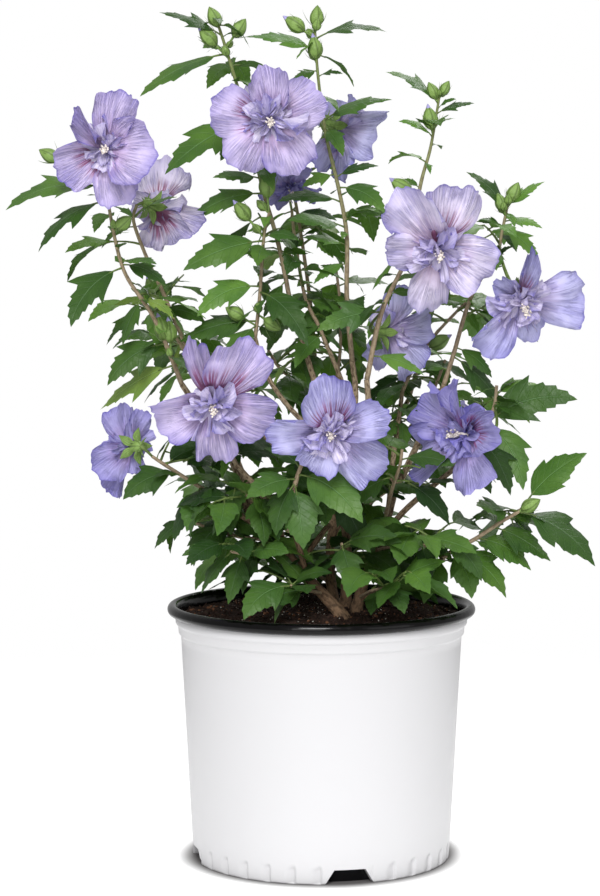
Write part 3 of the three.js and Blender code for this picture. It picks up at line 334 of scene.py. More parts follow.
         path=[[34, -26, 240], [44, -56, 250], [56, -78, 256], [66, -90, 262]],
         placed=[[0.5, 250, -35, 34, 0], [0.8, 285, -30, 42, 0], [0.97, 345, 25, 48, 40]]),
    dict(name="skirt_right", seed=2903, radii=[1.8, 1.3], leaves=1, twigs=4,
         path=[[50, -10, 282], [72, -46, 290], [92, -66, 292], [108, -74, 298]],
         placed=[[0.97, 330, -45, 52, 20], [0.6, 280, -50, 40, 0]]),
    dict(name="inner_left", seed=3001, radii=[1.8, 1.3], leaves=2, twigs=4,
         path=[[-53, -33, 304], [-58, -58, 330], [-66, -80, 338]],
         placed=[[0.9, 200, -45, 50, -10], [0.95, 250, 20, 44, 0], [0.8, 300, -50, 54, 0],
                 [0.6, 340, -30, 50, 20], [0.95, 330, -35, 52, 10]]),
    dict(name="inner_middle", seed=3109, radii=[1.8, 1.3], leaves=2, twigs=4,
         path=[[22, 9, 302], [12, -26, 328], [6, -56, 340]],
         placed=[[0.97, 260, -35, 48, 0], [0.85, 325, -58, 62, 15], [0.7, 200, -60, 50, -10]]),
    dict(name="inner_right", seed=3203, radii=[1.8, 1.3], leaves=2, twigs=4,
         path=[[56, -1, 298], [62, -46, 338], [68, -72, 362], [70, -80, 378]],
         placed=[[0.8, 340, -5, 50, 30]]),
    dict(name="inner_back_left", seed=3307, radii=[1.9, 1.3], leaves=3, twigs=4,
         path=[[-15, 100, 344], [-42, 76, 368], [-70, 66, 396], [-88, 64, 428], [-98, 66, 456]]),
    dict(name="inner_back_right", seed=3407, radii=[1.9, 1.3], leaves=3, twigs=4,
         path=[[38, 100, 338], [56, 80, 360], [84, 70, 388], [104, 68, 420], [116, 70, 450]]),
    dict(name="inner_back_top", seed=3511, radii=[1.9, 1.3], leaves=4, twigs=4,
         path=[[-1, 118, 389], [12, 98, 418], [18, 82, 456], [18, 74, 500], [14, 72, 536]]),
]

# The heads of each shoot's flowers, in the order of its flowers: their tint, which of the petals
# show a strong crimson eye, and where the petals were set one by one, the petals clockwise as seen
# from before the flower. Each has its place on the clock in degrees, its length as a share of the
# radius, half its spread, its rise at the foot, how far it bends back, its tilt about its own
# length, and how deep it is creased.
HEADS = {
    "shoot_far_left": [("lilac", (3,), [
        (15, 1.10, 28, 38, 48, 8, 0.15), (88, 1.10, 42, 52, 40, 0, 0.25),
        (164, 1.04, 27, 30, 50, -14, -0.10), (242, 0.98, 33, 36, 56, 12, 0.00),
        (319, 1.04, 12, 46, 20, 20, 0.90)])],
    "shoot_left": [("pale", (0, 2, 3), [
        (28, 1.40, 30, 30, 30, -40, 0.10), (80, 0.75, 28, 35, 60, -10, 0.10),
        (162, 0.78, 28, 30, 40, 12, 0.20), (222, 1.05, 31, 34, 50, -8, -0.20),
        (266, 1.00, 29, 40, 40, 10, 0.20)])],
    "shoot_low_left": [("violet", (), [
        (13, 0.86, 32, 38, 50, 6, 0.10), (122, 0.90, 34, 38, 50, -8, 0.10),
        (170, 1.02, 18, 36, 40, 10, 0.40), (204, 0.60, 22, 40, 50, -6, 0.20),
        (328, 0.82, 19, 40, 50, 10, 0.30)])],
    "shoot_front_left": [("lilac", (0, 4), [
        (28, 1.32, 29, 34, 44, -6, -0.10), (112, 0.98, 32, 34, 62, 14, 0.10),
        (182, 0.99, 24, 32, 56, -6, -0.15), (258, 1.01, 32, 34, 52, 8, 0.05),
        (338, 1.24, 13, 31, 30, 18, 0.40)])],
    "shoot_front": [("blue", (0,), [
        (358, 1.10, 29, 46, 40, -6, 0.25), (69, 1.02, 23, 40, 44, 16, 0.35),
        (143, 1.12, 29, 34, 50, -8, -0.10), (205, 0.76, 34, 40, 70, 0, 0.10),
        (263, 1.01, 26, 34, 54, 10, 0.10)])],
    "shoot_top_left": [("lilac", (4,), [
        (2, 0.92, 25, 44, 50, -6, 0.20), (68, 0.97, 33, 40, 48, 10, 0.10),
        (141, 0.96, 34, 36, 60, -8, -0.10), (216, 0.96, 33, 36, 50, 10, 0.05),
        (274, 0.98, 33, 38, 52, -8, 0.10)])],
    "shoot_middle": [("violet", (), [])],
    "shoot_top": [("blue", (2,), [
        (355, 0.65, 30, 36, 50, 8, 0.10), (45, 0.80, 30, 40, 46, -8, 0.20),
        (138, 0.94, 26, 38, 55, 12, 0.10), (194, 1.00, 22, 34, 40, -10, 0.50),
        (259, 1.06, 37, 34, 60, 6, -0.10)])],
    "shoot_top_right": [
        ("pale", (1,), [
            (333, 1.24, 27, 36, 48, 10, 0.10), (20, 1.22, 29, 38, 40, -10, 0.20),
            (108, 0.93, 40, 36, 56, 8, -0.10), (191, 1.10, 21, 30, 50, -6, 0.20),
            (266, 0.86, 30, 38, 52, 12, 0.10)]),
        ("blue", (), [
            (350, 1.00, 28, 36, 44, -10, 0.20), (60, 0.85, 28, 40, 50, 8, 0.10),
            (130, 0.90, 28, 40, 60, 6, 0.10), (205, 1.00, 36, 34, 50, -8, 0.00),
            (285, 1.05, 28, 34, 50, 10, 0.15)])],
    "shoot_right": [("blue", (0,), [
        (348, 1.10, 8, 24, 30, 16, 0.20), (88, 1.20, 31, 26, 36, 6, -0.10),
        (136, 0.84, 30, 38, 50, 8, 0.20), (214, 1.06, 24, 34, 46, -12, 0.20),
        (312, 0.70, 18, 30, 30, 10, 0.50)])],
    "shoot_lower_right": [("violet", (0, 1), [
        (5, 0.98, 10, 46, 30, -10, 0.30), (80, 1.08, 24, 24, 20, -8, 0.40),
        (164, 0.98, 30, 30, 50, 8, -0.05), (240, 1.15, 32, 34, 50, -8, 0.10),
        (302, 1.12, 30, 36, 50, 10, 0.10)])],
    "shoot_back_left": [("lilac", (2, 3), [
        (20, 0.80, 30, 66, 30, 10, 0.30), (94, 0.76, 30, 68, 30, -8, 0.30),
        (166, 0.80, 30, 64, 30, 8, 0.30), (240, 0.78, 30, 66, 30, -8, 0.30),
        (312, 0.80, 30, 66, 30, 10, 0.30)])],
    "shoot_back_top": [("pale", (0, 3), [])],
    "shoot_back_middle": [("blue", (4,), [
        (6, 0.78, 30, 70, 30, 10, 0.30), (80, 0.80, 30, 66, 30, -8, 0.30),
        (150, 0.78, 30, 68, 30, 8, 0.30), (226, 0.80, 30, 66, 30, -8, 0.30),
        (296, 0.76, 30, 66, 30, 10, 0.30)])],
    "shoot_back_right": [("lilac", (0, 2), [
        (0, 0.72, 30, 66, 30, 10, 0.30), (70, 0.70, 30, 64, 30, -8, 0.30),
        (142, 0.74, 30, 68, 30, 8, 0.30), (214, 0.76, 30, 66, 30, -8, 0.30),
        (288, 0.74, 30, 66, 30, 10, 0.30)])],
    "shoot_back_low_right": [("blue", (1,), [
        (10, 0.70, 30, 66, 30, 10, 0.30), (84, 0.68, 30, 66, 30, -8, 0.30),
        (156, 0.72, 30, 64, 30, 8, 0.30), (230, 0.74, 30, 66, 30, -8, 0.30),
        (302, 0.70, 30, 66, 30, 10, 0.30)])],
    "skirt_back": [("lilac", (0, 3), [
        (20, 0.70, 30, 66, 30, 10, 0.30), (92, 0.72, 30, 66, 30, -8, 0.30),
        (164, 0.74, 30, 66, 30, 8, 0.30), (236, 0.72, 30, 66, 30, -8, 0.30),
        (308, 0.70, 30, 66, 30, 10, 0.30)])],
}
TINTS = ("lilac", "pale", "blue", "violet")
GREENS = ("young", "fresh", "mid", "deep", "shade")
GREEN_STEPS = (0.0, 0.25, 0.62, 0.94)    # the shade at which each green ends and the next begins

# Half outline of a leaf blade by share of its length: half width of a plain leaf and of a lobed
# one, as shares of the length, and how far the margin runs ahead of the midrib there.
LEAF_ROWS = np.array([
    (0.13, 0.008, 0.008, 0.00),
    (0.19, 0.085, 0.075, 0.00),
    (0.26, 0.155, 0.135, 0.01),
    (0.33, 0.200, 0.185, 0.03),
    (0.39, 0.220, 0.225, 0.07),
    (0.44, 0.225, 0.270, 0.13),
    (0.49, 0.212, 0.155, 0.03),
    (0.55, 0.214, 0.135, 0.02),
    (0.61, 0.190, 0.155, 0.06),
    (0.66, 0.172, 0.118, 0.02),
    (0.73, 0.140, 0.118, 0.05),
    (0.78, 0.112, 0.080, 0.01),
    (0.85, 0.080, 0.068, 0.04),
    (0.90, 0.050, 0.036, 0.01),
    (0.95, 0.028, 0.020, 0.01),
    (1.00, 0.000, 0.000, 0.00),
])

# ---------------------------------------------------------------- numbers and directions


def draws(seed):
    """Repeatable numbers between two bounds: each state is 16807 times the last, modulo a prime."""
    modulus = 2147483647
    state = seed

    def draw(low, high):
        nonlocal state
        state = state * 16807 % modulus
        return low + (high - low) * state / modulus

    return draw


def unit(vectors):
    """Each vector divided by its length."""
    return vectors / np.maximum(np.linalg.norm(vectors, axis=-1, keepdims=True), 1e-12)


def heading(bearing, rise):
    """(cos bearing cos rise, sin bearing cos rise, sin rise), for numbers or arrays of degrees."""
    bearing, rise = np.broadcast_arrays(np.radians(bearing), np.radians(rise))
    level = np.cos(rise)
    return np.stack([np.cos(bearing) * level, np.sin(bearing) * level, np.sin(rise)], axis=-1)


def route(points, shares):
    """Places at shares of a smooth path: on each span a cubic whose slope at either end is half
    the step between that end's neighbours."""
    points = np.asarray(points, float)
    padded = np.vstack([2 * points[0] - points[1], points, 2 * points[-1] - points[-2]])
    reach = np.asarray(shares) * (len(points) - 1)
    span = np.clip(reach.astype(int), 0, len(points) - 2)
    t = (reach - span)[:, None]
    before, start, end, after = (padded[span + k] for k in range(4))
    leave = (end - before) / 2
    arrive = (after - start) / 2
    return (start * (2 * t**3 - 3 * t**2 + 1) + leave * (t**3 - 2 * t**2 + t)
            + end * (3 * t**2 - 2 * t**3) + arrive * (t**3 - t**2))


def place_on(path, share):
    """The place at a share of the way along a path whose spans count as equal steps."""
    reach = share * (len(path) - 1)
    span = min(int(reach), len(path) - 2)
    start, end = np.array(path[span], float), np.array(path[span + 1], float)
    return start + (end - start) * (reach - span)


def square_to(axis):
    """Two directions square to each axis, the first of them level, and the second upward."""
    across = unit(np.cross([0.0, 0.0, 1.0], axis))
    return across, np.cross(axis, across)


def smooth(x, low, high):
    """0 up to low, 1 from high, and 3t^2 - 2t^3 between them."""
    t = np.clip((x - low) / (high - low), 0, 1)
    return t * t * (3 - 2 * t)


def waves(x, y, lengths, seed):
    """Sum of plane waves over (x, y), each of a drawn direction and phase and a height that grows
    with its length, scaled to about -1 to 1."""
    draw = draws(seed)
    total = np.zeros(np.broadcast(x, y).shape)
    for length in lengths:
        bearing, phase = draw(0, math.tau), draw(0, math.tau)
        ahead = x * math.cos(bearing) + y * math.sin(bearing)
        total += length * np.sin(ahead * math.tau / length + phase)
    return total / (sum(length**2 for length in lengths) ** 0.5 * 1.4)


# ---------------------------------------------------------------- surfaces


def make(name, paint, slot, *grids):
    """Makes one piece from grids of points in millimetres. A grid has the shape (..., rows,
    columns, 3), and comes alone or with a UV spot for each point, which is otherwise its share
    of the columns and rows. Its faces look along (next column) x (next row). The seams and poles
    are closed, and the piece rides on the body."""
    all_points, all_spots, all_faces = [], [], []
    count = 0
    for grid in grids:
        points, spots = grid if isinstance(grid, tuple) else (grid, None)
        rows, columns = points.shape[-3:-1]
        if spots is None:
            across, along = np.meshgrid(np.linspace(0, 1, columns), np.linspace(0, 1, rows))
            spots = np.stack([across, along], axis=-1)
        number = np.arange(rows * columns).reshape(rows, columns)
        corners = (number[:-1, :-1], number[:-1, 1:], number[1:, 1:], number[1:, :-1])
        quads = np.stack(corners, axis=-1).reshape(-1, 4)
        starts = count + np.arange(0, points.size // 3, rows * columns)
        all_points.append(points.reshape(-1, 3))
        all_spots.append(np.broadcast_to(spots, points.shape[:-1] + (2,)).reshape(-1, 2))
        all_faces.append((starts[:, None, None] + quads).reshape(-1, 4))
        count += points.size // 3
    points, spots, faces = map(np.concatenate, (all_points, all_spots, all_faces))
    mesh = bpy.data.meshes.new(name)
    mesh.vertices.add(len(points))
    mesh.vertices.foreach_set("co", (points * MM).ravel())
    mesh.loops.add(faces.size)
    mesh.loops.foreach_set("vertex_index", faces.ravel())
    mesh.polygons.add(len(faces))
    mesh.polygons.foreach_set("loop_start", np.arange(0, faces.size, 4))
    layer = mesh.uv_layers.new(name="shape")
    layer.data.foreach_set("uv", spots[faces.ravel()].ravel())
    mesh.update(calc_edges=True)
    welded = bmesh.new()
    welded.from_mesh(mesh)
    bmesh.ops.remove_doubles(welded, verts=welded.verts, dist=WELD)
    welded.to_mesh(mesh)
    welded.free()
    mesh.polygons.foreach_set("use_smooth", np.ones(len(mesh.polygons), bool))
    mesh.materials.append(paint.material)
    piece = bpy.data.objects.new(name, mesh)
    bpy.context.scene.collection.objects.link(piece)
    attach(piece, "root")
    return piece


def tube(centres, radii, sides):
    """Round tubes with closed ends: each ring is its centre plus its radius times (cos a, sin a)
    in the plane square to the path. Centres are (..., rings, 3), and radii (..., rings) or
    (..., rings, sides + 1)."""
    ahead = unit(np.gradient(centres, axis=-2))
    overall = np.abs(centres[..., -1:, :] - centres[..., :1, :])
    reference = np.eye(3)[np.argmin(overall, axis=-1)]
    across = unit(np.cross(reference, ahead))[..., None, :]
    beside = np.cross(ahead[..., None, :], across)
    angle = np.linspace(0, math.tau, sides + 1)[:, None]
    radii = np.asarray(radii, float)
    if radii.ndim < centres.ndim:
        radii = radii[..., None]
    spokes = across * np.cos(angle) + beside * np.sin(angle)
    rings = centres[..., None, :] + spokes * radii[..., None]
    start = np.broadcast_to(centres[..., :1, None, :], rings[..., :1, :, :].shape)
    end = np.broadcast_to(centres[..., -1:, None, :], rings[..., :1, :, :].shape)
    return np.concatenate([start, rings, end], axis=-3)


def ball(middles, axes, radii, lengths, rings=4, sides=6):
    """Small closed ovals: along the axis -cos(a) times half the length, and sin(a) times the
    radius about it, for a from 0 to a half turn."""
    a = np.linspace(0, math.pi, rings + 2)[1:-1]
    along = -np.cos(a)[:, None] * lengths[..., None, None] / 2
    centres = middles[..., None, :] + axes[..., None, :] * along
    return tube(centres, np.sin(a) * radii[..., None], sides)


def spun(radius, height, angle):
    """Points of a surface round +Z: (r cos a, r sin a, z)."""
    radius, height, angle = np.broadcast_arrays(radius, height, angle)
    return np.stack([radius * np.cos(angle), radius * np.sin(angle), height], axis=-1)


# ---------------------------------------------------------------- paints


def linear(colour):
    """A display colour as the linear values that shaders use."""
    return [c / 12.92 if c <= 0.04045 else ((c + 0.055) / 1.055) ** 2.4 for c in colour[:3]] + [1.0]


def scaled(colour, by, lift=0.0):
    """A linear colour times a number, or times one for each channel, plus a lift, and at most 1."""
    return [*np.minimum(np.array(colour[:3]) * by + lift, 1.0), 1.0]


class Field:
    """A socket that carries a number. Arithmetic on it adds Math nodes."""

    def __init__(self, paint, socket):
        self.paint = paint
        self.socket = socket

    def math(self, operation, first, second=0.0):
        """The result of a Math node."""
        return self.paint.add("Math", {"operation": operation}, {0: first, 1: second})

    def __add__(self, other):
        return self.math("ADD", self, other)

    def __sub__(self, other):
        return self.math("SUBTRACT", self, other)

    def __rsub__(self, other):
        return self.math("SUBTRACT", other, self)

    def __mul__(self, other):
        return self.math("MULTIPLY", self, other)

    __radd__ = __add__
    __rmul__ = __mul__

    def __abs__(self):
        return self.math("ABSOLUTE", self)

    def wrapped(self):
        """The part after the point."""
        return self.math("FRACT", self)

    def between(self, low, high):
        """0 up to low and 1 from high, or the other way round, with a soft step."""
        settings = {"interpolation_type": "SMOOTHSTEP"}
        return self.paint.add("MapRange", settings, {"Value": self, "From Min": low, "From Max": high})


class Paint:
    """One material: its Principled shader and the nodes that feed it."""

    def __init__(self, name, roughness, **constants):
        self.material = bpy.data.materials.new(name)
        self.material.use_nodes = True
        self.tree = self.material.node_tree
        self.shader = self.tree.nodes["Principled BSDF"]
        self.shader.inputs["Roughness"].default_value = roughness
        for key, value in constants.items():
            self.shader.inputs[key.replace("_", " ")].default_value = value

    def feed(self, socket, value):
        """Links a field to a socket, or sets the socket's own value."""
        if isinstance(value, Field):
            self.tree.links.new(value.socket, socket)
        else:
            socket.default_value = value

    def add(self, kind, settings=None, inputs=None, output=0):
        """Adds a node of a type, with its settings and the values or links of its sockets."""
        node = self.tree.nodes.new("ShaderNode" + kind)
        for key, value in (settings or {}).items():
            setattr(node, key, value)
        for key, value in (inputs or {}).items():
            self.feed(node.inputs[key], value)
        return Field(self, node.outputs[output])

    def mix(self, share, first, second):
        """A colour between two colours."""
        return self.add("Mix", {"data_type": "RGBA"}, {0: share, 6: first, 7: second}, output=2)

    def place(self):
        """The place in the part's own frame, in metres."""
        return self.add("TexCoord", output=3)

    def height(self):
        """Height above the floor, in metres."""
        return self.add("SeparateXYZ", inputs={0: self.place()}, output=2)

    def reach(self):
        """Distance from the upright axis, in metres."""
        level = self.add("VectorMath", {"operation": "MULTIPLY"}, {0: self.place(), 1: (1, 1, 0)})
        return self.add("VectorMath", {"operation": "LENGTH"}, {0: level}, output=1)

    def spot(self):
        """The two numbers of the piece's own UV map."""
        uv = self.add("TexCoord", output=2)
        return [self.add("SeparateXYZ", inputs={0: uv}, output=k) for k in (0, 1)]

    def stretched(self, across, along):
        """UV coordinates scaled by different numbers across and along the surface."""
        uv = self.add("TexCoord", output=2)
        return self.add("VectorMath", {"operation": "MULTIPLY"}, {0: uv, 1: (across, along, 1)})

    def chance(self, number):
        """A random share for the whole part of a number."""
        whole = self.add("Math", {"operation": "FLOOR"}, {0: number})
        return self.add("TexWhiteNoise", {"noise_dimensions": "1D"}, {"W": whole})

    def noise(self, scale, detail=3.0, vector=None, roughness=0.5):
        """Uneven values about 0.5, over the place or another vector."""
        inputs = {"Scale": scale, "Detail": detail, "Roughness": roughness,
                  "Vector": vector or self.place()}
        return self.add("TexNoise", inputs=inputs)

    def colour(self, value):
        """Sets the shader's own colour."""
        self.feed(self.shader.inputs["Base Color"], value)

    def bump(self, height, distance, strength=1.0):
        """Relief: a height field times a distance in metres."""
        bump = self.add("Bump", inputs={"Strength": strength, "Distance": distance, "Height": height})
        self.feed(self.shader.inputs["Normal"], bump)

    def glow_through(self, share, colour):
        """Lets a share of the light through, as thin leaves and petals do."""
        thin = self.add("BsdfTranslucent", inputs={"Color": colour})
        solid = Field(self, self.shader.outputs[0])
        mixed = self.add("MixShader", inputs={0: share, 1: solid, 2: thin})
        self.feed(self.tree.nodes["Material Output"].inputs["Surface"], mixed)


def pot_paint(looks):
    """White moulded plastic, faintly grimed, and painted near black as shade where the notches open."""
    paint = Paint("pot_plastic", 0.36, Specular_IOR_Level=0.45)
    grime = paint.noise(18, 4).between(0.55, 0.85)
    tint = linear(looks.pot_colour)
    height = paint.height()
    # painted shade: the underside within the foot, seen through the notches, is near black
    inside = paint.reach().between(MM * (FOOT_RADIUS - 4), MM * (FOOT_RADIUS - 8))
    under = inside * height.between(MM * 16, MM * 14)
    wall = paint.mix(grime * 0.10, tint, scaled(tint, 0.86))
    paint.colour(paint.mix(under, wall, linear((0.10, 0.10, 0.11))))
    paint.feed(paint.shader.inputs["Roughness"], paint.noise(60, 3) * 0.16 + 0.30)
    paint.bump(paint.noise(140, 3), 0.0004, 0.25)
    return paint


def lip_paint(looks):
    """Black moulded plastic with a little dust, which dulls its shine."""
    paint = Paint("lip_plastic", 0.2, Specular_IOR_Level=0.22)
    dust = paint.noise(90, 5).between(0.56, 0.78)
    paint.colour(paint.mix(dust * 0.10, linear(looks.lip_colour), linear((0.20, 0.18, 0.17))))
    paint.feed(paint.shader.inputs["Roughness"], dust * 0.18 + 0.14)
    paint.bump(paint.noise(160, 3), 0.0005, 0.3)
    return paint


def soil_paint(looks):
    """Moist soil: brown crumbs in dark, with darker patches and a strong relief."""
    paint = Paint("potting_soil", 0.95, Specular_IOR_Level=0.2)
    crumbs = paint.noise(420, 6, roughness=0.65)
    patches = paint.noise(55).between(0.4, 0.65)
    dark = linear(looks.soil_colour)
    mixed = paint.mix(crumbs.between(0.42, 0.66), dark, scaled(dark, 2.6))
    paint.colour(paint.mix(patches * 0.4, mixed, scaled(dark, 0.5)))
    paint.bump(crumbs, 0.004, 1.0)
    return paint


def floor_paint(looks):
    """A white floor, fading out further away, with a painted contact shadow round the pot's foot."""
    paint = Paint("floor", 0.9, Specular_IOR_Level=0.1, Emission_Strength=looks.floor_glow)
    reach = paint.reach()
    # painted shadow: close round the foot the floor is grey and gives no glow
    open_floor = reach.between(*CONTACT_SHADOW_REACH)
    white, shade = linear(looks.floor), linear((0.42, 0.41, 0.41))
    paint.colour(paint.mix(open_floor, shade, white))
    glow = paint.mix(open_floor, (0.0, 0.0, 0.0, 1.0), (1.0, 1.0, 1.0, 1.0))
    paint.feed(paint.shader.inputs["Emission Color"], glow)
    paint.feed(paint.shader.inputs["Alpha"], reach.between(*FADE_REACH))
    return paint


def plain_paint(name, colour, roughness, grain=300, depth=0.0006):
    """One colour with fine dark mottling and relief."""
    paint = Paint(name, roughness, Specular_IOR_Level=0.3)
    base = linear(colour)
    mottle = paint.noise(grain, 4)
    paint.colour(paint.mix(mottle.between(0.35, 0.7), scaled(base, 0.62), base))
    paint.bump(mottle, depth, 0.6)
    return paint


def bark_paint(looks):
    """Thin bark: long streaks and fissures along the stem, with pale raised pores."""
    paint = Paint("bark", 0.82, Specular_IOR_Level=0.25)
    streaks = paint.noise(1.0, 5, paint.stretched(9, 0.16), 0.6)
    pores = paint.noise(1.0, 2, paint.stretched(10, 0.9)).between(0.66, 0.72)
    low = paint.height().between(0.36, 0.27)
    tan, red = linear(looks.bark_colour), linear(looks.trunk_colour)
    skin = paint.mix(low, tan, red)
    dark = paint.mix(streaks.between(0.58, 0.36), skin, scaled(red, 0.38))
    paint.colour(paint.mix(pores * 0.5, dark, linear((0.72, 0.62, 0.50))))
    paint.bump(streaks + pores * 0.5, 0.0016, 0.8)
    return paint


def stem_paint(looks):
    """Young stems: tan low down and green towards the tips, with fine streaks."""
    paint = Paint("young_stem", 0.6, Specular_IOR_Level=0.3)
    streaks = paint.noise(1.0, 4, paint.stretched(7, 0.2), 0.6)
    high = paint.height().between(0.50, 0.70)
    skin = paint.mix(high, linear(looks.bark_colour), linear(looks.shoot_colour))
    paint.colour(paint.mix(streaks.between(0.6, 0.35) * 0.6, skin, linear((0.36, 0.29, 0.22))))
    paint.bump(streaks, 0.0008, 0.6)
    return paint


def leaf_paint(name, colour):
    """A leaf blade: a thin pale midrib and side veins in a quilted face of uneven green."""
    paint = Paint(name, 0.46, Specular_IOR_Level=0.36)
    across, along = paint.spot()
    side = abs(across - 0.5)
    beyond = along - STALK_SHARE
    midrib = side.between(0.011, 0.003) * along.between(0.98, 0.55)
    lobe_vein = abs(side - beyond * 0.75).between(0.008, 0.002) * beyond.between(0.44, 0.30)
    fine_veins = abs(((beyond - side * 0.9) * 9).wrapped() - 0.5).between(0.42, 0.49)
    veins = midrib + lobe_vein * 0.5 + fine_veins * 0.28
    base = linear(colour)
    uneven = paint.noise(22, 2).between(0.32, 0.68)
    olive = scaled(base, (1.28, 1.06, 0.92))
    face = paint.mix(uneven, scaled(base, 0.66), olive)
    face = paint.mix(side.between(0.10, 0.30) * 0.35, face, scaled(base, 0.55))
    paint.colour(paint.mix(veins.between(0, 1.5), face, scaled(base, 1.4, 0.05)))
    paint.bump(paint.noise(200, 2) * 0.6 - veins * 0.7, 0.0016, 0.8)
    paint.glow_through(0.18, scaled(base, (1.9, 1.7, 0.7)))
    return paint


def petal_paint(name, colour, deep, eye):
    """A petal: branching veins fan out from its foot, its rims are deeper and bluer, partly in their own
    colour and partly as painted shade, uneven blotches are darker as painted shade for its folds,
    the middle is pale and pinkish, and crimson streaks run out from the eye at its foot, strong on
    the petals whose number is odd."""
    paint = Paint(name, 0.60, Specular_IOR_Level=0.2)
    across, along = paint.spot()
    side = abs(across.wrapped() - 0.5)
    has_eye = (across * 0.5).wrapped().between(0.49, 0.51)
    lines = abs(paint.noise(1.0, 2, paint.stretched(24, 0.9), 0.5) - 0.5).between(0.085, 0.02)
    fine = abs(paint.noise(1.0, 2, paint.stretched(56, 2.4), 0.5) - 0.5).between(0.09, 0.02)
    blotch = paint.noise(34)
    patches = paint.noise(45, 2).between(0.36, 0.62) * 0.75 + 0.25
    veins = (lines * 0.8 + fine * 0.45) * patches * along.between(0.02, 0.35)
    # rims deeper and bluer, partly their own colour and partly painted shade; the blotches add painted
    # shade for the folds
    rim = along.between(0.74, 1.0) * 0.5 + side.between(0.36, 0.5) * 0.5
    rim = rim + blotch.between(0.50, 0.70) * 0.4
    outline = along.between(0.95, 0.995) + side.between(0.465, 0.498)
    base, dark = linear(colour), linear(deep)
    face = paint.mix(rim, base, paint.mix(0.62, base, dark))
    rosy = scaled(base, (1.10, 0.97, 0.98), (0.03, 0.0, 0.0))
    face = paint.mix(along.between(0.75, 0.25) * 0.65, face, rosy)
    drawn = outline.between(0, 1) * blotch.between(0.40, 0.56) * 0.5 + veins * 0.36
    face = paint.mix(drawn, face, dark)
    streaks = paint.noise(1.0, 2, paint.stretched(40, 0.7), 0.5).between(0.47, 0.58)
    flare = streaks * along.between(0.76, 0.40) + along.between(0.46, 0.26)
    paint.colour(paint.mix(flare.between(0, 1) * (has_eye * 0.72 + 0.12), face, linear(eye)))
    crinkle = paint.noise(190, 2) * along.between(0.45, 1.0)
    paint.bump(veins * -0.7 + blotch * 0.6 + crinkle * 0.5, 0.0018, 0.9)
    paint.glow_through(0.13, scaled(base, 1.12))
    return paint


def inner_petal_paint(name, colour, deep):
    """The small inner petals: nearly white in the middle, and bluish along their edges, partly in
    their own colour and partly as painted shade between the strips, with painted shade towards
    their foot, deep in the flower.
    """
    paint = Paint(name, 0.60, Specular_IOR_Level=0.2)
    across, along = paint.spot()
    side = abs(across.wrapped() - 0.5)
    lines = abs(paint.noise(1.0, 2, paint.stretched(16, 1.6), 0.5) - 0.5).between(0.06, 0.01)
    pale, dark = linear(colour), linear(deep)
    # edges: partly their own bluish colour and partly painted shade between the strips
    edge = side.between(0.34, 0.5) * 0.5 + along.between(0.8, 1.0) * 0.25
    # painted shade towards the foot, deep in the flower
    edge = edge + along.between(0.42, 0.05) * 0.7
    blue = paint.mix(0.36, pale, dark)
    face = paint.mix(paint.chance(across).between(0.35, 0.95), pale, blue)
    paint.colour(paint.mix(edge + lines * 0.25, face, dark))
    paint.bump(lines, 0.0010, 0.6)
    paint.glow_through(0.13, scaled(pale, 1.1))
    return paint


def bud_paint(looks):
    """Buds and cups: five pale ribs with darker furrows between them, and fine mottling."""
    paint = Paint("bud_green", 0.5, Specular_IOR_Level=0.35)
    across, along = paint.spot()
    furrow = abs((across * 5).wrapped() - 0.5).between(0.30, 0.5)
    mottle = paint.noise(240).between(0.35, 0.7)
    base = linear(looks.bud)
    dark = scaled(base, 0.42)
    face = paint.mix(mottle * 0.5, base, scaled(base, 0.66))
    face = paint.mix(along.between(0.75, 1.0) * 0.5, face, dark)
    paint.colour(paint.mix(furrow * 0.8, face, dark))
    paint.bump(mottle - furrow, 0.0007, 0.6)
    return paint


# ---------------------------------------------------------------- how the plant grows


LEAF_FIELDS = ("x", "y", "z", "bearing", "rise", "length", "roll", "breadth", "lobes", "fall",
               "fold", "ripple", "twist", "bow", "green", "placed")
PETAL_FIELDS = ("flower", "tint", "clock", "length", "spread", "rise", "bend", "tilt", "crease", "start",
                "ruffle", "pleat", "notch", "bow", "eye")


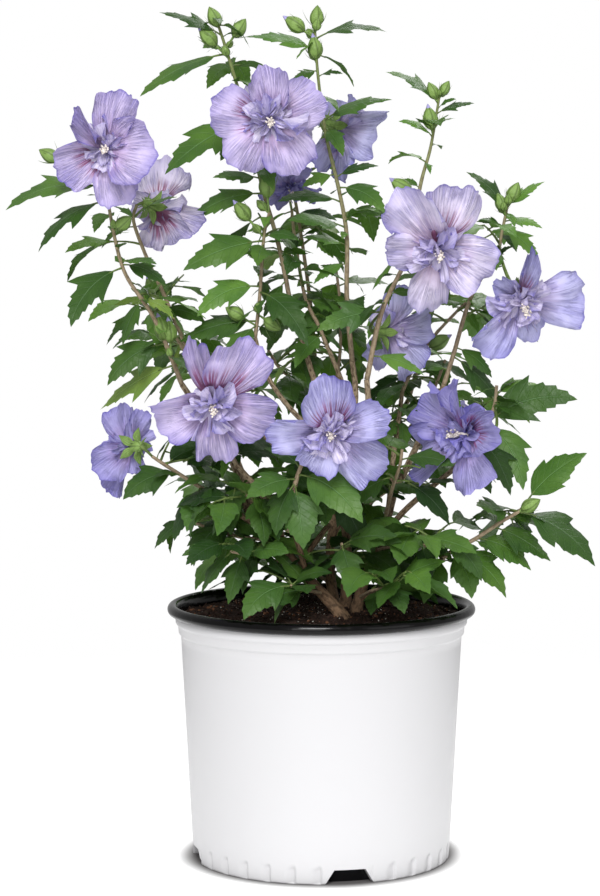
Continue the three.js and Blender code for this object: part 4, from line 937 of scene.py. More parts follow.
class Plant:
    """The leaves, twigs, buds and flowers of every shoot, by the same seeded rule as the solids,
    carried on to smaller leaves and twigs between them."""

    def __init__(self, density):
        self.density = density
        self.leaves, self.twigs, self.buds, self.flowers, self.petals = [], [], [], [], []
        for shoot in SHOOTS:
            self.grow(shoot)
        keys = self.flowers[0]
        self.flowers = {key: np.array([flower[key] for flower in self.flowers]) for key in keys}
        self.petals = dict(zip(PETAL_FIELDS, np.array(self.petals).T))
        self.leaves = dict(zip(LEAF_FIELDS, np.array(self.leaves).T))
        keep = self.clear_leaves()
        self.leaves = {key: values[keep] for key, values in self.leaves.items()}

    def grow(self, shoot):
        """All that one shoot carries: first what is placed one by one, then what the rule sets, then
        the finer growth."""
        path = shoot["path"]
        draw = draws(shoot["seed"])
        self.fine = draws(shoot["seed"] + FINE_SEED)
        self.is_low = path[-1][2] < LOW_CROWN
        self.breadth = LOW_BREADTH if self.is_low else 1
        heads = HEADS.get(shoot["name"], [])
        for (tint, eyes, placed), flower in zip(heads, shoot.get("flowers", [])):
            share, heart, bearing, rise, radius, turn = flower
            lengths = [draw(0.92, 1.05) for _ in range(PETALS)]
            self.add_petals(TINTS.index(tint), eyes, placed, turn, lengths)
            self.flowers.append({
                "foot": place_on(path, share), "heart": np.array(heart, float),
                "axis": heading(bearing, rise), "radius": radius, "turn": turn,
                "tint": TINTS.index(tint),
            })
        for share, bearing, rise, length, roll in shoot.get("placed", []):
            self.add_leaf(place_on(path, share), bearing, rise, length, roll, lobes=0.9, placed=1)
        for share, bearing, rise, stalk, length in shoot.get("buds", []):
            self.add_buds(place_on(path, share), bearing, rise, stalk, length)
        self.ruled_leaves(path, shoot["leaves"], draw)
        self.ruled_twigs(path, shoot.get("twigs", 0), draw)
        self.fine_growth(path, shoot["name"].startswith("inner_back"))

    def add_petals(self, tint, eyes, placed, turn, lengths):
        """The petals of one flower: those set one by one, or five spread evenly but unlike."""
        fine = self.fine
        if not placed:
            step = 360 / PETALS
            placed = [(90 - turn - step * k + fine(-9, 9), length, fine(25, 36), fine(32, 50),
                       fine(35, 70), fine(-18, 18), fine(-0.2, 0.35))
                      for k, length in enumerate(lengths)]
        for k, petal in enumerate(placed):
            phases = [fine(0, math.tau) for _ in range(3)]
            row = (len(self.flowers), tint, *petal, 0.02, *phases, fine(-8, 8), k in eyes)
            self.petals.append(row)

    def add_leaf(self, foot, bearing, rise, length, roll, lobes, placed=0):
        """A leaf of drawn breadth, lobes, fall, fold, ripple, twist and bow. Leaves low in the
        crown are darker and less lobed, and those placed one by one are flatter."""
        fine = self.fine
        shade = fine(0, 1) + (LOW_SHADE if foot[2] < LOW_CROWN else HIGH_SHADE)
        green = np.searchsorted(GREEN_STEPS, shade)
        flat = PLACED_FLATNESS if placed else 1
        self.leaves.append((
            *foot, bearing, rise, length, roll, self.breadth * fine(0.92, 1.1),
            lobes * fine(0.8, 1.15) * (0.6 if self.is_low else 1), fine(26, 66),
            fine(6, 30) * flat, fine(0, math.tau), fine(-45, 45) * flat, fine(-0.12, 0.12),
            green, placed))

    def add_buds(self, foot, bearing, rise, stalk, length):
        """A bud on its stalk, with a smaller one or two beside it."""
        self.buds.append((*foot, bearing, rise, stalk, length))
        for turn in (-1, 1):
            if self.fine(0, 1) < 0.55:
                aim = bearing + turn * self.fine(40, 80)
                self.buds.append((
                    *foot, aim, self.fine(30, 70), self.fine(2, 6), length * self.fine(0.45, 0.7)))

    def ruled_leaves(self, path, count, draw):
        """Leaves along a stem that alternate between the front and the back."""
        for i in range(count):
            share = 0.08 + 0.88 * (i + draw(0.1, 0.9)) / count
            bearing = 270 + LEAF_TURN * i + draw(-40, 40)
            rise = draw(*LEAF_RISES)
            length = LEAF_LENGTH * (1 - 0.25 * share) * draw(0.85, 1.1)
            roll = draw(-LEAF_ROLL, LEAF_ROLL)
            self.add_leaf(place_on(path, share), bearing, rise, length, roll, 0.6)

    def ruled_twigs(self, path, count, draw):
        """Side twigs, each with a leaf at its tip and one to either side."""
        for i in range(count):
            foot = place_on(path, 0.25 + 0.7 * (i + draw(0.2, 0.8)) / count)
            bearing = TWIG_TURN * i + draw(0, TWIG_TURN)
            rise = draw(*TWIG_RISES)
            tip = foot + heading(bearing, rise) * draw(*TWIG_LENGTHS)
            self.twigs.append((*foot, *tip))
            length = LEAF_LENGTH * draw(0.8, 1.05)
            self.add_leaf(tip, bearing, rise - LEAF_FALL, length, draw(-LEAF_ROLL, LEAF_ROLL), 0.7)
            for k, turn in enumerate((-SIDE_LEAF_TURN, SIDE_LEAF_TURN)):
                start = foot + (tip - foot) * (0.5 + 0.25 * k)
                aim = bearing + turn + draw(-15, 15)
                side_rise = draw(*SIDE_LEAF_RISES)
                length = LEAF_LENGTH * draw(0.8, 1.05)
                self.add_leaf(start, aim, side_rise, length, draw(-LEAF_ROLL, LEAF_ROLL), 0.6)

    def fine_growth(self, path, is_screen):
        """Small leaves in the axils all along the stem, and short twigs: more of them on the
        shoots that fill the back."""
        fine = self.fine
        count = round(self.density * (0.6 * len(path) if self.is_low else len(path) + 1))
        sizes = LOW_FINE_SIZES if self.is_low else FINE_SIZES
        for i in range(count):
            foot = place_on(path, 0.06 + 0.92 * (i + fine(0, 1)) / count)
            bearing = GOLDEN_ANGLE * i + fine(0, 90)
            rise, length = fine(-45, 30), LEAF_LENGTH * fine(*sizes)
            self.add_leaf(foot, bearing, rise, length, fine(-40, 40), fine(0.2, 0.8))
        for i in range(SCREEN_TWIGS if is_screen else 1):
            foot = place_on(path, fine(0.15, 0.95))
            bearing = 97 * i + fine(0, 97)
            tip = foot + heading(bearing, fine(-15, 40)) * fine(14, 34)
            self.twigs.append((*foot, *tip))
            for k in range(3):
                start = foot + (tip - foot) * (0.45 + 0.27 * k)
                aim = bearing + (50 if k % 2 else -50) * (k < 2) + fine(-20, 20)
                length = LEAF_LENGTH * fine(0.75, 1.05)
                self.add_leaf(start, aim, fine(-60, -5), length, fine(-35, 35), fine(0.1, 0.7))

    def clear_leaves(self):
        """Which leaves lie in the crown's space, above the soil and the lip, clear of the bare
        stems at the front, and, unless they were placed one by one, outside each flower head and
        the space just in front of it."""
        place, _, normal, width = leaf_frames(self.leaves, LEAF_ROWS[::3, 0], LEAF_ROWS[::3])
        across = np.cross(unit(np.gradient(place, axis=1)), normal) * width[..., None]
        points = np.concatenate([place, place - across, place + across], axis=1)
        low, high = np.array(CROWN[0]), np.array(CROWN[1])
        inside = ((points > low - CROWN_MARGIN) & (points < high + CROWN_MARGIN)).all(axis=(1, 2))
        level = np.linalg.norm(points[..., :2], axis=-1)
        floor = np.where(level > LIP_RADIUS - 14, POT_HEIGHT + 2, soil_height(level) + 1)
        inside &= ((points[..., 2] > floor) | (level > LIP_RADIUS + 4)).all(axis=1)
        free = np.ones(len(points), bool)
        for heart, axis, radius in zip(*(self.flowers[key] for key in ("heart", "axis", "radius"))):
            offset = points - heart
            ahead = offset @ axis
            aside = np.linalg.norm(offset - ahead[..., None] * axis, axis=-1)
            is_before = (ahead > -0.1 * radius) & (ahead < 1.5 * radius)
            free &= ~(is_before & (aside < 0.92 * radius)).any(axis=1)
        for (start_x, start_z), (end_x, end_z) in BARE_STEMS:
            step = np.array([end_x - start_x, end_z - start_z])
            offset = points[..., [0, 2]] - (start_x, start_z)
            share = np.clip(offset @ step / (step @ step), 0, 1)
            away = np.linalg.norm(offset - share[..., None] * step, axis=-1)
            inside &= ~((away < BARE_WIDTH) & (points[..., 1] < BARE_FRONT)).any(axis=1)
        return inside & (free | (self.leaves["placed"] > 0))


def soil_height(radius):
    """Level round the stems, then down in a smooth slope to the pot's wall."""
    return GROUND + (SOIL_EDGE - GROUND) * smooth(radius, LEVEL_RADIUS, WALL_RADIUS - 6)


def leaf_frames(leaves, shares, rows):
    """Places, directions and face normals along the midribs, and half widths. A midrib is an arc
    that starts above its rise by half its fall and bends down by its fall, with a bow to one side
    that grows with the square of the share. The roll turns the face about it, and the twist turns
    it on from the middle to either end."""
    fall = np.radians(leaves["fall"])[:, None]
    first = np.radians(leaves["rise"])[:, None] + fall / 2
    slope = first - fall * shares
    out = (np.sin(first) - np.sin(slope)) / fall
    up = (np.cos(slope) - np.cos(first)) / fall
    length = leaves["length"][:, None]
    foot = np.stack([leaves[key] for key in "xyz"], axis=-1)[:, None, :]
    bearing = leaves["bearing"][:, None]
    place = foot + heading(bearing, 0) * (out * length)[..., None]
    place[..., 2] += up * length
    aside = leaves["bow"][:, None] * shares**2 * length
    place = place + heading(bearing + 90, 0) * aside[..., None]
    ahead = unit(np.gradient(place, axis=1))
    across = unit(np.cross(ahead, heading(bearing, np.degrees(slope) + 90)))
    upright = np.cross(across, ahead)
    roll = np.radians(leaves["roll"][:, None] + leaves["twist"][:, None] * (shares - 0.4))[..., None]
    normal = upright * np.cos(roll) + across * np.sin(roll)
    lobes = leaves["lobes"][:, None]
    width = (rows[:, 1] * (1 - lobes) + rows[:, 2] * lobes) * length * leaves["breadth"][:, None]
    return place, ahead, normal, np.maximum(width, 0)


def leaf_sheets(leaves):
    """Leaf blades: across the midrib t from -1 to 1, a point lies t times the half width aside,
    runs ahead towards the lobes and teeth, and rises with |t| as the fold says, less t^2 for the
    drooping margin, plus a ripple along the edge."""
    t = np.linspace(-1, 1, 5)[None, None, :, None]
    shares = LEAF_ROWS[:, 0]
    place, ahead, normal, width = leaf_frames(leaves, shares, LEAF_ROWS)
    place, ahead, normal = place[:, :, None, :], ahead[:, :, None, :], normal[:, :, None, :]
    width = width[:, :, None, None]
    length = leaves["length"][:, None, None, None]
    fold = np.radians(leaves["fold"])[:, None, None, None]
    sweep = LEAF_ROWS[:, 3] * length[..., 0, 0] * (0.4 + 0.6 * leaves["lobes"][:, None])
    sweep = sweep[:, :, None, None]
    ripple = leaves["ripple"][:, None, None, None]
    edge = np.sin(shares[None, :, None, None] * 17 + ripple + t * 2.1)
    lift = width * np.abs(t) * np.sin(fold) - width * t * t * 0.22 + edge * t * t * width * 0.10
    across = np.cross(ahead, normal)
    points = (place + across * (t * width * np.cos(fold)) + ahead * (sweep * np.abs(t) ** 1.5)
              + normal * lift)
    u = 0.5 + t[..., 0] * (width / length)[..., 0]
    v = shares[None, :, None] + (sweep / length)[..., 0] * np.abs(t[..., 0]) ** 1.5
    return points, np.stack(np.broadcast_arrays(u, v), axis=-1)


def leaf_stalks(leaves):
    """The stalk of each leaf: a thin tube along the first part of its midrib."""
    shares = np.linspace(0, STALK_SHARE + 0.06, 4)
    place = leaf_frames(leaves, shares, LEAF_ROWS[:4])[0]
    thickness = (0.5 + leaves["length"] / 160)[:, None] * np.array([1.25, 0.95, 0.85, 0.7])
    return tube(place, thickness, 5)


# ---------------------------------------------------------------- flowers and buds


def petal_points(flowers, petals, u, v):
    """Petals. With u from foot to rim and v from -1 to 1 across, a point lies at the distance
    u (1 - 0.17 u^2 v^2 - 0.16 u^2 v^8) from the foot, notched at the rim, and at the angle
    v (1.38 - 0.28 u^2) times half the spread from the midline. Its lift is the crease times v^2
    and times the distance from a fold beside the midline, plus pleats that run out from the foot
    and ruffles that grow towards the rim. The midline is an arc that leaves the flower's plane by
    the rise and bends back, and the tilt turns the petal about it. All is then times its length."""
    table = {key: values[:, None, None] for key, values in petals.items()}
    number = petals["flower"].astype(int)
    axis = flowers["axis"][number]
    across, upward = square_to(axis)
    clock = np.radians(petals["clock"])[:, None]
    outward = across * np.sin(clock) + upward * np.cos(clock)
    side = np.cross(outward, axis)
    first, second, third = table["ruffle"], table["pleat"], table["notch"]
    reach = u * (1 - 0.17 * (u * v) ** 2 - 0.16 * u**2 * v**8)
    reach = reach + u**6 * (0.022 * np.sin(8 * v + first) + 0.014 * np.sin(19 * v + third)
                            + 0.010 * np.sin(29 * v + second))
    angle = v * np.radians(table["spread"]) * (1.38 - 0.28 * u**2) + np.radians(table["bow"]) * u
    fold = np.sqrt((v - 0.45 * np.sin(third)) ** 2 + 0.006) * np.where(np.sin(first) > 0, 0.20, -0.16)
    pleats = u * (1.3 - u) * (0.070 * np.sin(6.5 * v + second) + 0.030 * np.sin(13 * v + third))
    ruffles = 0.080 * np.sin(4.5 * v + 2 * u + first) * u**4
    ruffles = ruffles + 0.038 * np.sin(12 * v + 3 * u + second) * u**5
    lift = ((0.42 * table["crease"] * v**2 + fold) * u**1.2 + pleats + ruffles
            + 0.04 * np.sin(5 * u + third) * v)
    tilt = np.radians(table["tilt"]) * np.minimum(1.5 * u, 1)
    aside = reach * np.sin(angle)
    sideways = aside * np.cos(tilt) - lift * np.sin(tilt)
    above = aside * np.sin(tilt) + lift * np.cos(tilt)
    ahead = reach * np.cos(angle)
    rise, bend = np.radians(table["rise"]), np.radians(table["bend"])
    slope = rise - bend * ahead
    out = (np.sin(rise) - np.sin(slope)) / bend - above * np.sin(slope)
    along = (np.cos(slope) - np.cos(rise)) / bend + above * np.cos(slope)
    radius = flowers["radius"][number][:, None, None]
    length = (table["length"] * radius)[..., None]
    heart = flowers["heart"][number]
    heart, axis, outward, side = (part[:, None, None, :] for part in (heart, axis, outward, side))
    return (heart + axis * (table["start"] * radius)[..., None]
            + (outward * out[..., None] + side * sideways[..., None] + axis * along[..., None]) * length)


def petal_grids(flowers, petals, rows, columns):
    """The petals' points, and their spots: the share across plus an even number for each petal,
    or an odd one where its eye shows, so that no two have the same veins, and the share of the
    length."""
    u = np.linspace(0.03, 1, rows)[:, None]
    v = np.linspace(-1, 1, columns)[None, :]
    points = petal_points(flowers, petals, u, v)
    number = (2 * np.arange(len(points)) + petals["eye"])[:, None, None]
    spots = np.stack(np.broadcast_arrays(number + 0.5 + v * 0.499, u), axis=-1)
    return points, spots


def inner_petals(flowers, each, seed):
    """The table of the small inner petals: strips round each heart by the golden angle, the first
    upright and the later ones leaning out further, folded lengthwise and curled."""
    draw = draws(seed)
    rows = []
    for number, (turn, tint) in enumerate(zip(flowers["turn"], flowers["tint"])):
        for k in range(each):
            late = k / each
            rows.append((
                number, tint, turn + GOLDEN_ANGLE * k + draw(-20, 20), draw(0.28, 0.42) + 0.20 * late,
                draw(9, 21), draw(46, 70) - 32 * late, draw(0, 80), draw(-40, 40), draw(-0.7, 1.5),
                draw(0.04, 0.14), *(draw(0, math.tau) for _ in range(3)), draw(-22, 22), 0))
    return dict(zip(PETAL_FIELDS, np.array(rows).T))


def flower_columns(flowers):
    """The column in the middle of each flower, which droops with the square of its share, and its
    anthers, which stand round the upper half by the golden angle."""
    heart, axis = flowers["heart"][:, None], flowers["axis"][:, None]
    radius = flowers["radius"][:, None, None]
    across, upward = (part[:, None] for part in square_to(flowers["axis"]))
    s = np.linspace(0, 1, 6)[:, None]
    centres = heart + axis * (radius * 0.48 * s) - upward * s**2 * 2.5
    rod = tube(centres, np.array([1.9, 1.8, 1.9, 2.2, 2.2, 1.4]), 8)
    anthers = 30
    k = np.arange(anthers)[:, None]
    turn = np.radians(GOLDEN_ANGLE * k)
    height = radius * (0.28 + 0.22 * k / anthers)
    outward = across * np.cos(turn) + upward * np.sin(turn)
    middles = heart + axis * height + outward * (2.5 + 1.1 * np.sin(k * 1.9))
    middles = middles - upward * (k / anthers) ** 2 * 2.0
    thickness = np.full(middles.shape[:2], 0.9)
    length = np.full(middles.shape[:2], 2.0)
    return rod, ball(middles, outward, thickness, length)


def blades(start, ahead, facing, lengths, widths, bends, rows=7):
    """Small pointed blades: from the start along an arc that turns from ahead towards facing by
    the bend, with a half width of sin(pi (0.06 + 0.94 s)^0.75) that closes in a point, and raised
    edges."""
    s = np.linspace(0, 1, rows)[:, None, None]
    t = np.linspace(-1, 1, 3)[None, :, None]
    start, ahead, facing = (part[..., None, None, :] for part in (start, ahead, facing))
    sizes = (lengths, widths, bends)
    lengths, widths, bends = (np.asarray(part)[..., None, None, None] for part in sizes)
    along = np.sin(bends * s) / bends * lengths
    lift = (1 - np.cos(bends * s)) / bends * lengths
    width = widths * np.sin(math.pi * (0.06 + 0.94 * s) ** 0.75)
    side = np.cross(ahead, facing)
    return start + ahead * along + facing * (lift + width * 0.5 * t * t) + side * (t * width)


def calyx_sheets(flowers):
    """Behind each flower: a round cup, five sepals pressed to the petals, and seven bracts."""
    heart, axis, radius = flowers["heart"], flowers["axis"], flowers["radius"]
    across, upward = square_to(axis)
    distances = np.array([-15.0, -13.0, -10.5, -7.0, -3.0, 1.0])
    centres = heart[:, None] + axis[:, None] * distances[:, None]
    widths = radius[:, None] * np.array([0.04, 0.08, 0.105, 0.115, 0.115, 0.10])
    parts = [tube(centres, widths, 15)]
    for count, offset, forward, lean, length, width in (
            (5, 0.10, -6.0, 56, 0.30, 0.085), (7, 0.05, -12.5, 58, 0.22, 0.020)):
        angle = np.radians(flowers["turn"][:, None] + 36 + 360 / count * np.arange(count))[..., None]
        outward = across[:, None] * np.cos(angle) + upward[:, None] * np.sin(angle)
        tilt = math.radians(lean)
        ahead = axis[:, None] * math.cos(tilt) + outward * math.sin(tilt)
        facing = axis[:, None] * math.sin(tilt) - outward * math.cos(tilt)
        start = heart[:, None] + axis[:, None] * forward
        start = start + outward * (radius * offset)[:, None, None]
        lengths = np.repeat((radius * length)[:, None], count, axis=1)
        bends = np.full_like(lengths, -0.5)
        parts.append(blades(start, ahead, facing, lengths, lengths * width / length, bends))
    return parts


def pedicels(flowers):
    """Stalks from the shoot to the back of each flower, which leave along the flower's axis."""
    s = np.linspace(0, 1, 9)[:, None]
    foot = flowers["foot"][:, None]
    end = flowers["heart"][:, None] - 12 * flowers["axis"][:, None]
    span = np.linalg.norm(end - foot, axis=-1, keepdims=True)
    bend = end - flowers["axis"][:, None] * span * 0.45
    centres = foot * (1 - s) ** 2 + 2 * bend * s * (1 - s) + end * s**2
    return tube(centres, np.linspace(1.1, 2.0, 9), 8)


def bud_parts(buds):
    """Egg-shaped buds: the radius is 0.30 (sin pi s^0.8)^0.85 + 0.012 of the length, drawn out to
    a point, with five ribs, on a stalk with seven thin bracts that stand out and curl up round
    it. Long buds show a violet tip."""
    foot, (bearing, rise, stalk, length) = buds[:, :3], buds[:, 3:].T
    axis = heading(bearing, rise)
    across, upward = square_to(axis)
    s = np.linspace(0.02, 1.0, 13)
    profile = 0.30 * np.maximum(np.sin(math.pi * s**0.8), 0) ** 0.85 + 0.012
    angle = np.linspace(0, math.tau, 21)
    ribs = 1 + 0.11 * np.abs(np.cos(2.5 * angle)) - 0.05
    base = foot + axis * stalk[:, None]
    centres = base[:, None] + axis[:, None] * (s * length[:, None])[..., None]
    bodies = tube(centres, (length[:, None] * profile)[..., None] * ribs, 20)
    reach = np.linspace(0, 1.1, 4)
    stalks = tube(foot[:, None] + axis[:, None] * (reach * stalk[:, None])[..., None],
                  np.array([0.9, 0.9, 1.0, 1.2]), 6)
    k = np.arange(7)
    turn = np.radians(51.4 * k)[:, None]
    outward = across[:, None] * np.cos(turn) + upward[:, None] * np.sin(turn)
    number = np.arange(len(buds))[:, None]
    tilt = np.radians(46 + 14 * np.sin(number * 2.3 + k * 1.7))[..., None]
    ahead = axis[:, None] * np.cos(tilt) + outward * np.sin(tilt)
    facing = axis[:, None] * np.sin(tilt) - outward * np.cos(tilt)
    start = base[:, None] + outward * (0.08 * length)[:, None, None]
    lengths = length[:, None] * (0.78 + 0.20 * np.sin(number * 1.3 + k * 2.9))
    bends = 0.75 + 0.35 * np.sin(number + k * 2.1)
    bracts = blades(start, ahead, facing, lengths, lengths * 0.042, bends)
    full = length > LONG_BUD
    along = np.linspace(0.76, 1.08, 5) * length[full][:, None]
    tips = base[full][:, None] + axis[full][:, None] * along[..., None]
    violet = tube(tips, length[full][:, None] * np.array([0.13, 0.13, 0.10, 0.06, 0.015]), 8)
    return bodies, stalks, bracts, violet


# ---------------------------------------------------------------- stems


def limb_grid(limb, sides, rings_per_span, relief):
    """A limb: its radius runs evenly from one end to the other, widens into the soil as
    exp(-height / flare height), swells at each node, and has low ridges that wind along it, and
    four flutes where it is rooted. Its UV spots are the share round it and the millimetres along
    it."""
    path = [list(point) for point in limb["path"]]
    is_rooted = path[0][2] == GROUND
    if is_rooted:
        path.insert(0, [path[0][0], path[0][1], path[0][2] - ROOTED_DEPTH])
    rings = rings_per_span * (len(path) - 1) + 1
    shares = np.linspace(0, 1, rings)
    centres = route(path, shares)
    steps = np.linalg.norm(np.diff(centres, axis=0), axis=-1)
    along = np.concatenate([[0], np.cumsum(steps)])[:, None]
    angle = np.linspace(0, math.tau, sides + 1)
    radius = limb["radii"][0] + (limb["radii"][1] - limb["radii"][0]) * shares[:, None]
    if is_rooted:
        radius = radius + FLARE * np.exp(-np.maximum(centres[:, 2:] - GROUND, 0) / FLARE_HEIGHT)
    nodes = np.exp(-((((along + 9) % 26) - 13) / 2.6) ** 2)
    ridges = (np.sin(3 * angle + along / 9) * 0.5 + np.sin(5 * angle - along / 6) * 0.3
              + np.sin(8 * angle + along / 3.1) * 0.25)
    flutes = np.sin(4 * angle) * np.exp(-np.maximum(centres[:, 2:] - GROUND, 0) / 20) * is_rooted
    radius = radius * (1 + relief * ridges + 2.6 * relief * nodes + 0.12 * flutes)
    grid = tube(centres, radius, sides)
    around = angle / math.tau * np.ones((rings + 2, 1))
    length = np.concatenate([along[:1], along, along[-1:]]) * np.ones(sides + 1)
    return grid, np.stack([around, length], axis=-1)


# ---------------------------------------------------------------- the pot and its soil


def wall_radius(height):
    """Radius of the plain wall at a height, before its two steps."""
    return FOOT_RADIUS + (WALL_RADIUS - 2 * BAND_STEP - FOOT_RADIUS) * height / WALL_TOP


def notch_height(angle):
    """How high the foot is cut at each angle: level over each notch, with sloping ends."""
    height = np.zeros_like(angle)
    for k in range(NOTCHES):
        middle = math.radians(FIRST_NOTCH + 360 / NOTCHES * k)
        away = np.abs((angle - middle + math.pi) % math.tau - math.pi) * FOOT_RADIUS
        ramp = np.clip((NOTCH_WIDTH / 2 - away) / NOTCH_SLOPE, 0, 1)
        height = np.maximum(height, ramp * NOTCH_HEIGHT)
    return height


def pot_grid():
    """The shell as rows from the middle of the underside, out and up the wall, over its top and
    down inside to the floor. Grooves that deepen round the pot and end in a step fade out up the
    foot, and the notches lift its edge."""
    angle = np.linspace(0, math.tau, POT_SIDES + 1)
    cut = notch_height(angle)
    beat = (angle * FLUTES / math.tau) % 1
    groove = smooth(beat, 0.5, 0.93) * (1 - smooth(beat, 0.93, 1.0)) * (1 - smooth(cut, 0.5, 6))
    inner = FOOT_RADIUS - NOTCH_DEPTH
    rows = [(0.0, RECESS), (inner - 14, RECESS), (inner - 12, 0.2), (inner, 0.0)]
    rows += [(inner, cut), (inner + 4, cut), (FOOT_RADIUS - 2, cut)]
    rows.append((FOOT_RADIUS - 0.8, cut + 0.2))
    for height in (0.8, 2, 4, 6, 8, 10, 12, 14, 15.5, 17, 18.5, 20):
        top = smooth(height, FLUTE_HEIGHT - 4 - 5 * (1 - groove), FLUTE_HEIGHT)
        z = np.maximum(height, cut + height * 0.1)
        rows.append((wall_radius(z) - FLUTE_DEPTH * (1 - top) * groove, z))
    for height in np.linspace(26, 196, 18):
        rows.append((wall_radius(height), height))
    for k, height in enumerate(BAND_HEIGHTS):
        low = wall_radius(height) + k * BAND_STEP
        rows += [(low, height - 0.4), (low + 0.5, height + 0.1)]
        rows += [(low + BAND_STEP - 0.4, height + 1.5), (low + BAND_STEP, height + 2.4)]
    rows += [(WALL_RADIUS, WALL_TOP - 0.4), (WALL_RADIUS - 0.5, WALL_TOP)]
    rows += [(WALL_RADIUS - WALL, WALL_TOP), (wall_radius(BAND_HEIGHTS[0]) - WALL, BAND_HEIGHTS[0])]
    rows += [(FOOT_RADIUS - WALL - 1, BOTTOM), (0.0, BOTTOM)]
    return np.stack([spun(radius, height, angle) for radius, height in rows])


def lip_grid():
    """A rolled lip: a rounded section swept round +Z, with a thin black liner that runs down
    inside the wall into the soil, and back up against the wall."""
    a = np.radians(np.linspace(-90, 90, 13))
    half = LIP_HEIGHT / 2 - 0.15
    inside = WALL_RADIUS - WALL
    start = (inside - 0.2, WALL_TOP + 0.3)
    rows = [start]
    rows += [(LIP_RADIUS + half * (math.cos(x) - 1), POT_HEIGHT + half * (math.sin(x) - 1)) for x in a]
    rows += [(inside + 2.4, POT_HEIGHT - 0.2), (inside + 0.6, POT_HEIGHT - 1.6)]
    rows += [(inside - 1.4, POT_HEIGHT - 5), (inside - 1.6, WALL_TOP)]
    rows += [(inside - 3.6, SOIL_EDGE - 5), (inside - 2.8, SOIL_EDGE - 5), start]
    angle = np.linspace(0, math.tau, LIP_SIDES + 1)
    return np.stack([spun(radius, height, angle) for radius, height in rows])


def soil_grid():
    """The soil's face: its slope plus rough waves, with its edge turned down beside the wall."""
    angle = np.linspace(0, math.tau, SOIL_SIDES + 1)
    radius = np.concatenate([np.linspace(0, WALL_RADIUS - 4.2, 96), [WALL_RADIUS - 7, 0]])[:, None]
    x, y = radius * np.cos(angle), radius * np.sin(angle)
    rough = waves(x, y, (31, 23, 17, 13, 11, 9, 7.5, 6.3, 5.2, 4.4, 3.7, 3.1, 2.6), seed=77)
    clods = waves(x, y, (12, 10, 8.5, 7, 6, 5), seed=78)
    height = soil_height(radius) + 1.3 * rough + 1.5 * np.maximum(clods, 0) ** 2
    height[-2:] = SOIL_EDGE - 8
    return spun(radius, height, angle)[::-1]


def crumbs(count, sizes, seed):
    """Loose bits on the soil: ovals with an uneven surface, each turned its own way."""
    draw = draws(seed)
    drawn = np.array([[draw(0, 1) for _ in range(7)] for _ in range(count)])
    radius = (WALL_RADIUS - 10) * np.sqrt(drawn[:, 0])
    angle = math.tau * drawn[:, 1]
    size = sizes[0] + (sizes[1] - sizes[0]) * drawn[:, 2] ** 2
    middles = spun(radius, soil_height(radius) + 1.0, angle)
    axes = heading(360 * drawn[:, 3], 60 * drawn[:, 4] - 30)
    grid = ball(middles, axes, size * (0.35 + 0.3 * drawn[:, 5]), size * 2, rings=3, sides=5)
    offset = grid - middles[:, None, None]
    knobs = np.sin(offset @ np.array([2.1, 1.3, 1.7]) + 6 * drawn[:, 6, None, None])
    return middles[:, None, None] + offset * (1 + 0.18 * knobs[..., None])


# ---------------------------------------------------------------- what a user can change


def colour_property(name, description, default):
    """A colour as it shows on a display, each channel from 0 to 1."""
    return FloatVectorProperty(
        name=name, description=description, default=default, subtype="COLOR", min=0.0, max=1.0)


class PotLooks(bpy.types.PropertyGroup):
    """The pot and its soil"""
    pot_colour: colour_property("Pot", "Colour of the pot's wall", (0.785, 0.783, 0.79))
    lip_colour: colour_property("Lip", "Colour of the rolled lip and liner", (0.018, 0.015, 0.017))
    soil_colour: colour_property("Soil", "Colour of the moist soil", (0.185, 0.125, 0.10))
    crumb_count: IntProperty(
        name="Crumbs", description="Loose bits of bark on the soil", default=1500, min=0, max=4000)
    grain_count: IntProperty(
        name="Grains", description="Pale grains on the soil", default=420, min=0, max=2000)


class BarkLooks(bpy.types.PropertyGroup):
    """The stems, boughs and shoots"""
    trunk_colour: colour_property("Old bark", "Colour of the bark near the soil", (0.50, 0.40, 0.31))
    bark_colour: colour_property("Bark", "Colour of the bark of the boughs", (0.62, 0.55, 0.45))
    shoot_colour: colour_property("Shoot", "Colour of the green tips of the shoots", (0.46, 0.52, 0.30))
    relief: FloatProperty(
        name="Relief", description="Height of the bark's ridges as a share of the stem's radius",
        default=0.026, min=0.0, max=0.2, subtype="FACTOR")


class FoliageLooks(bpy.types.PropertyGroup):
    """The leaves and twigs"""
    young: colour_property("Young", "Colour of the youngest leaves", (0.46, 0.60, 0.29))
    fresh: colour_property("Fresh", "Colour of bright leaves", (0.36, 0.545, 0.245))
    mid: colour_property("Middle", "Colour of most leaves", (0.295, 0.46, 0.20))
    deep: colour_property("Deep", "Colour of dark leaves", (0.225, 0.37, 0.16))
    shade: colour_property("Shade", "Colour of the darkest leaves", (0.155, 0.285, 0.12))
    twig: colour_property("Twigs", "Colour of green twigs and leaf stalks", (0.42, 0.50, 0.26))
    density: FloatProperty(
        name="Fine growth", description="Small leaves for each span of a shoot",
        default=1.6, min=0.0, max=5.0)


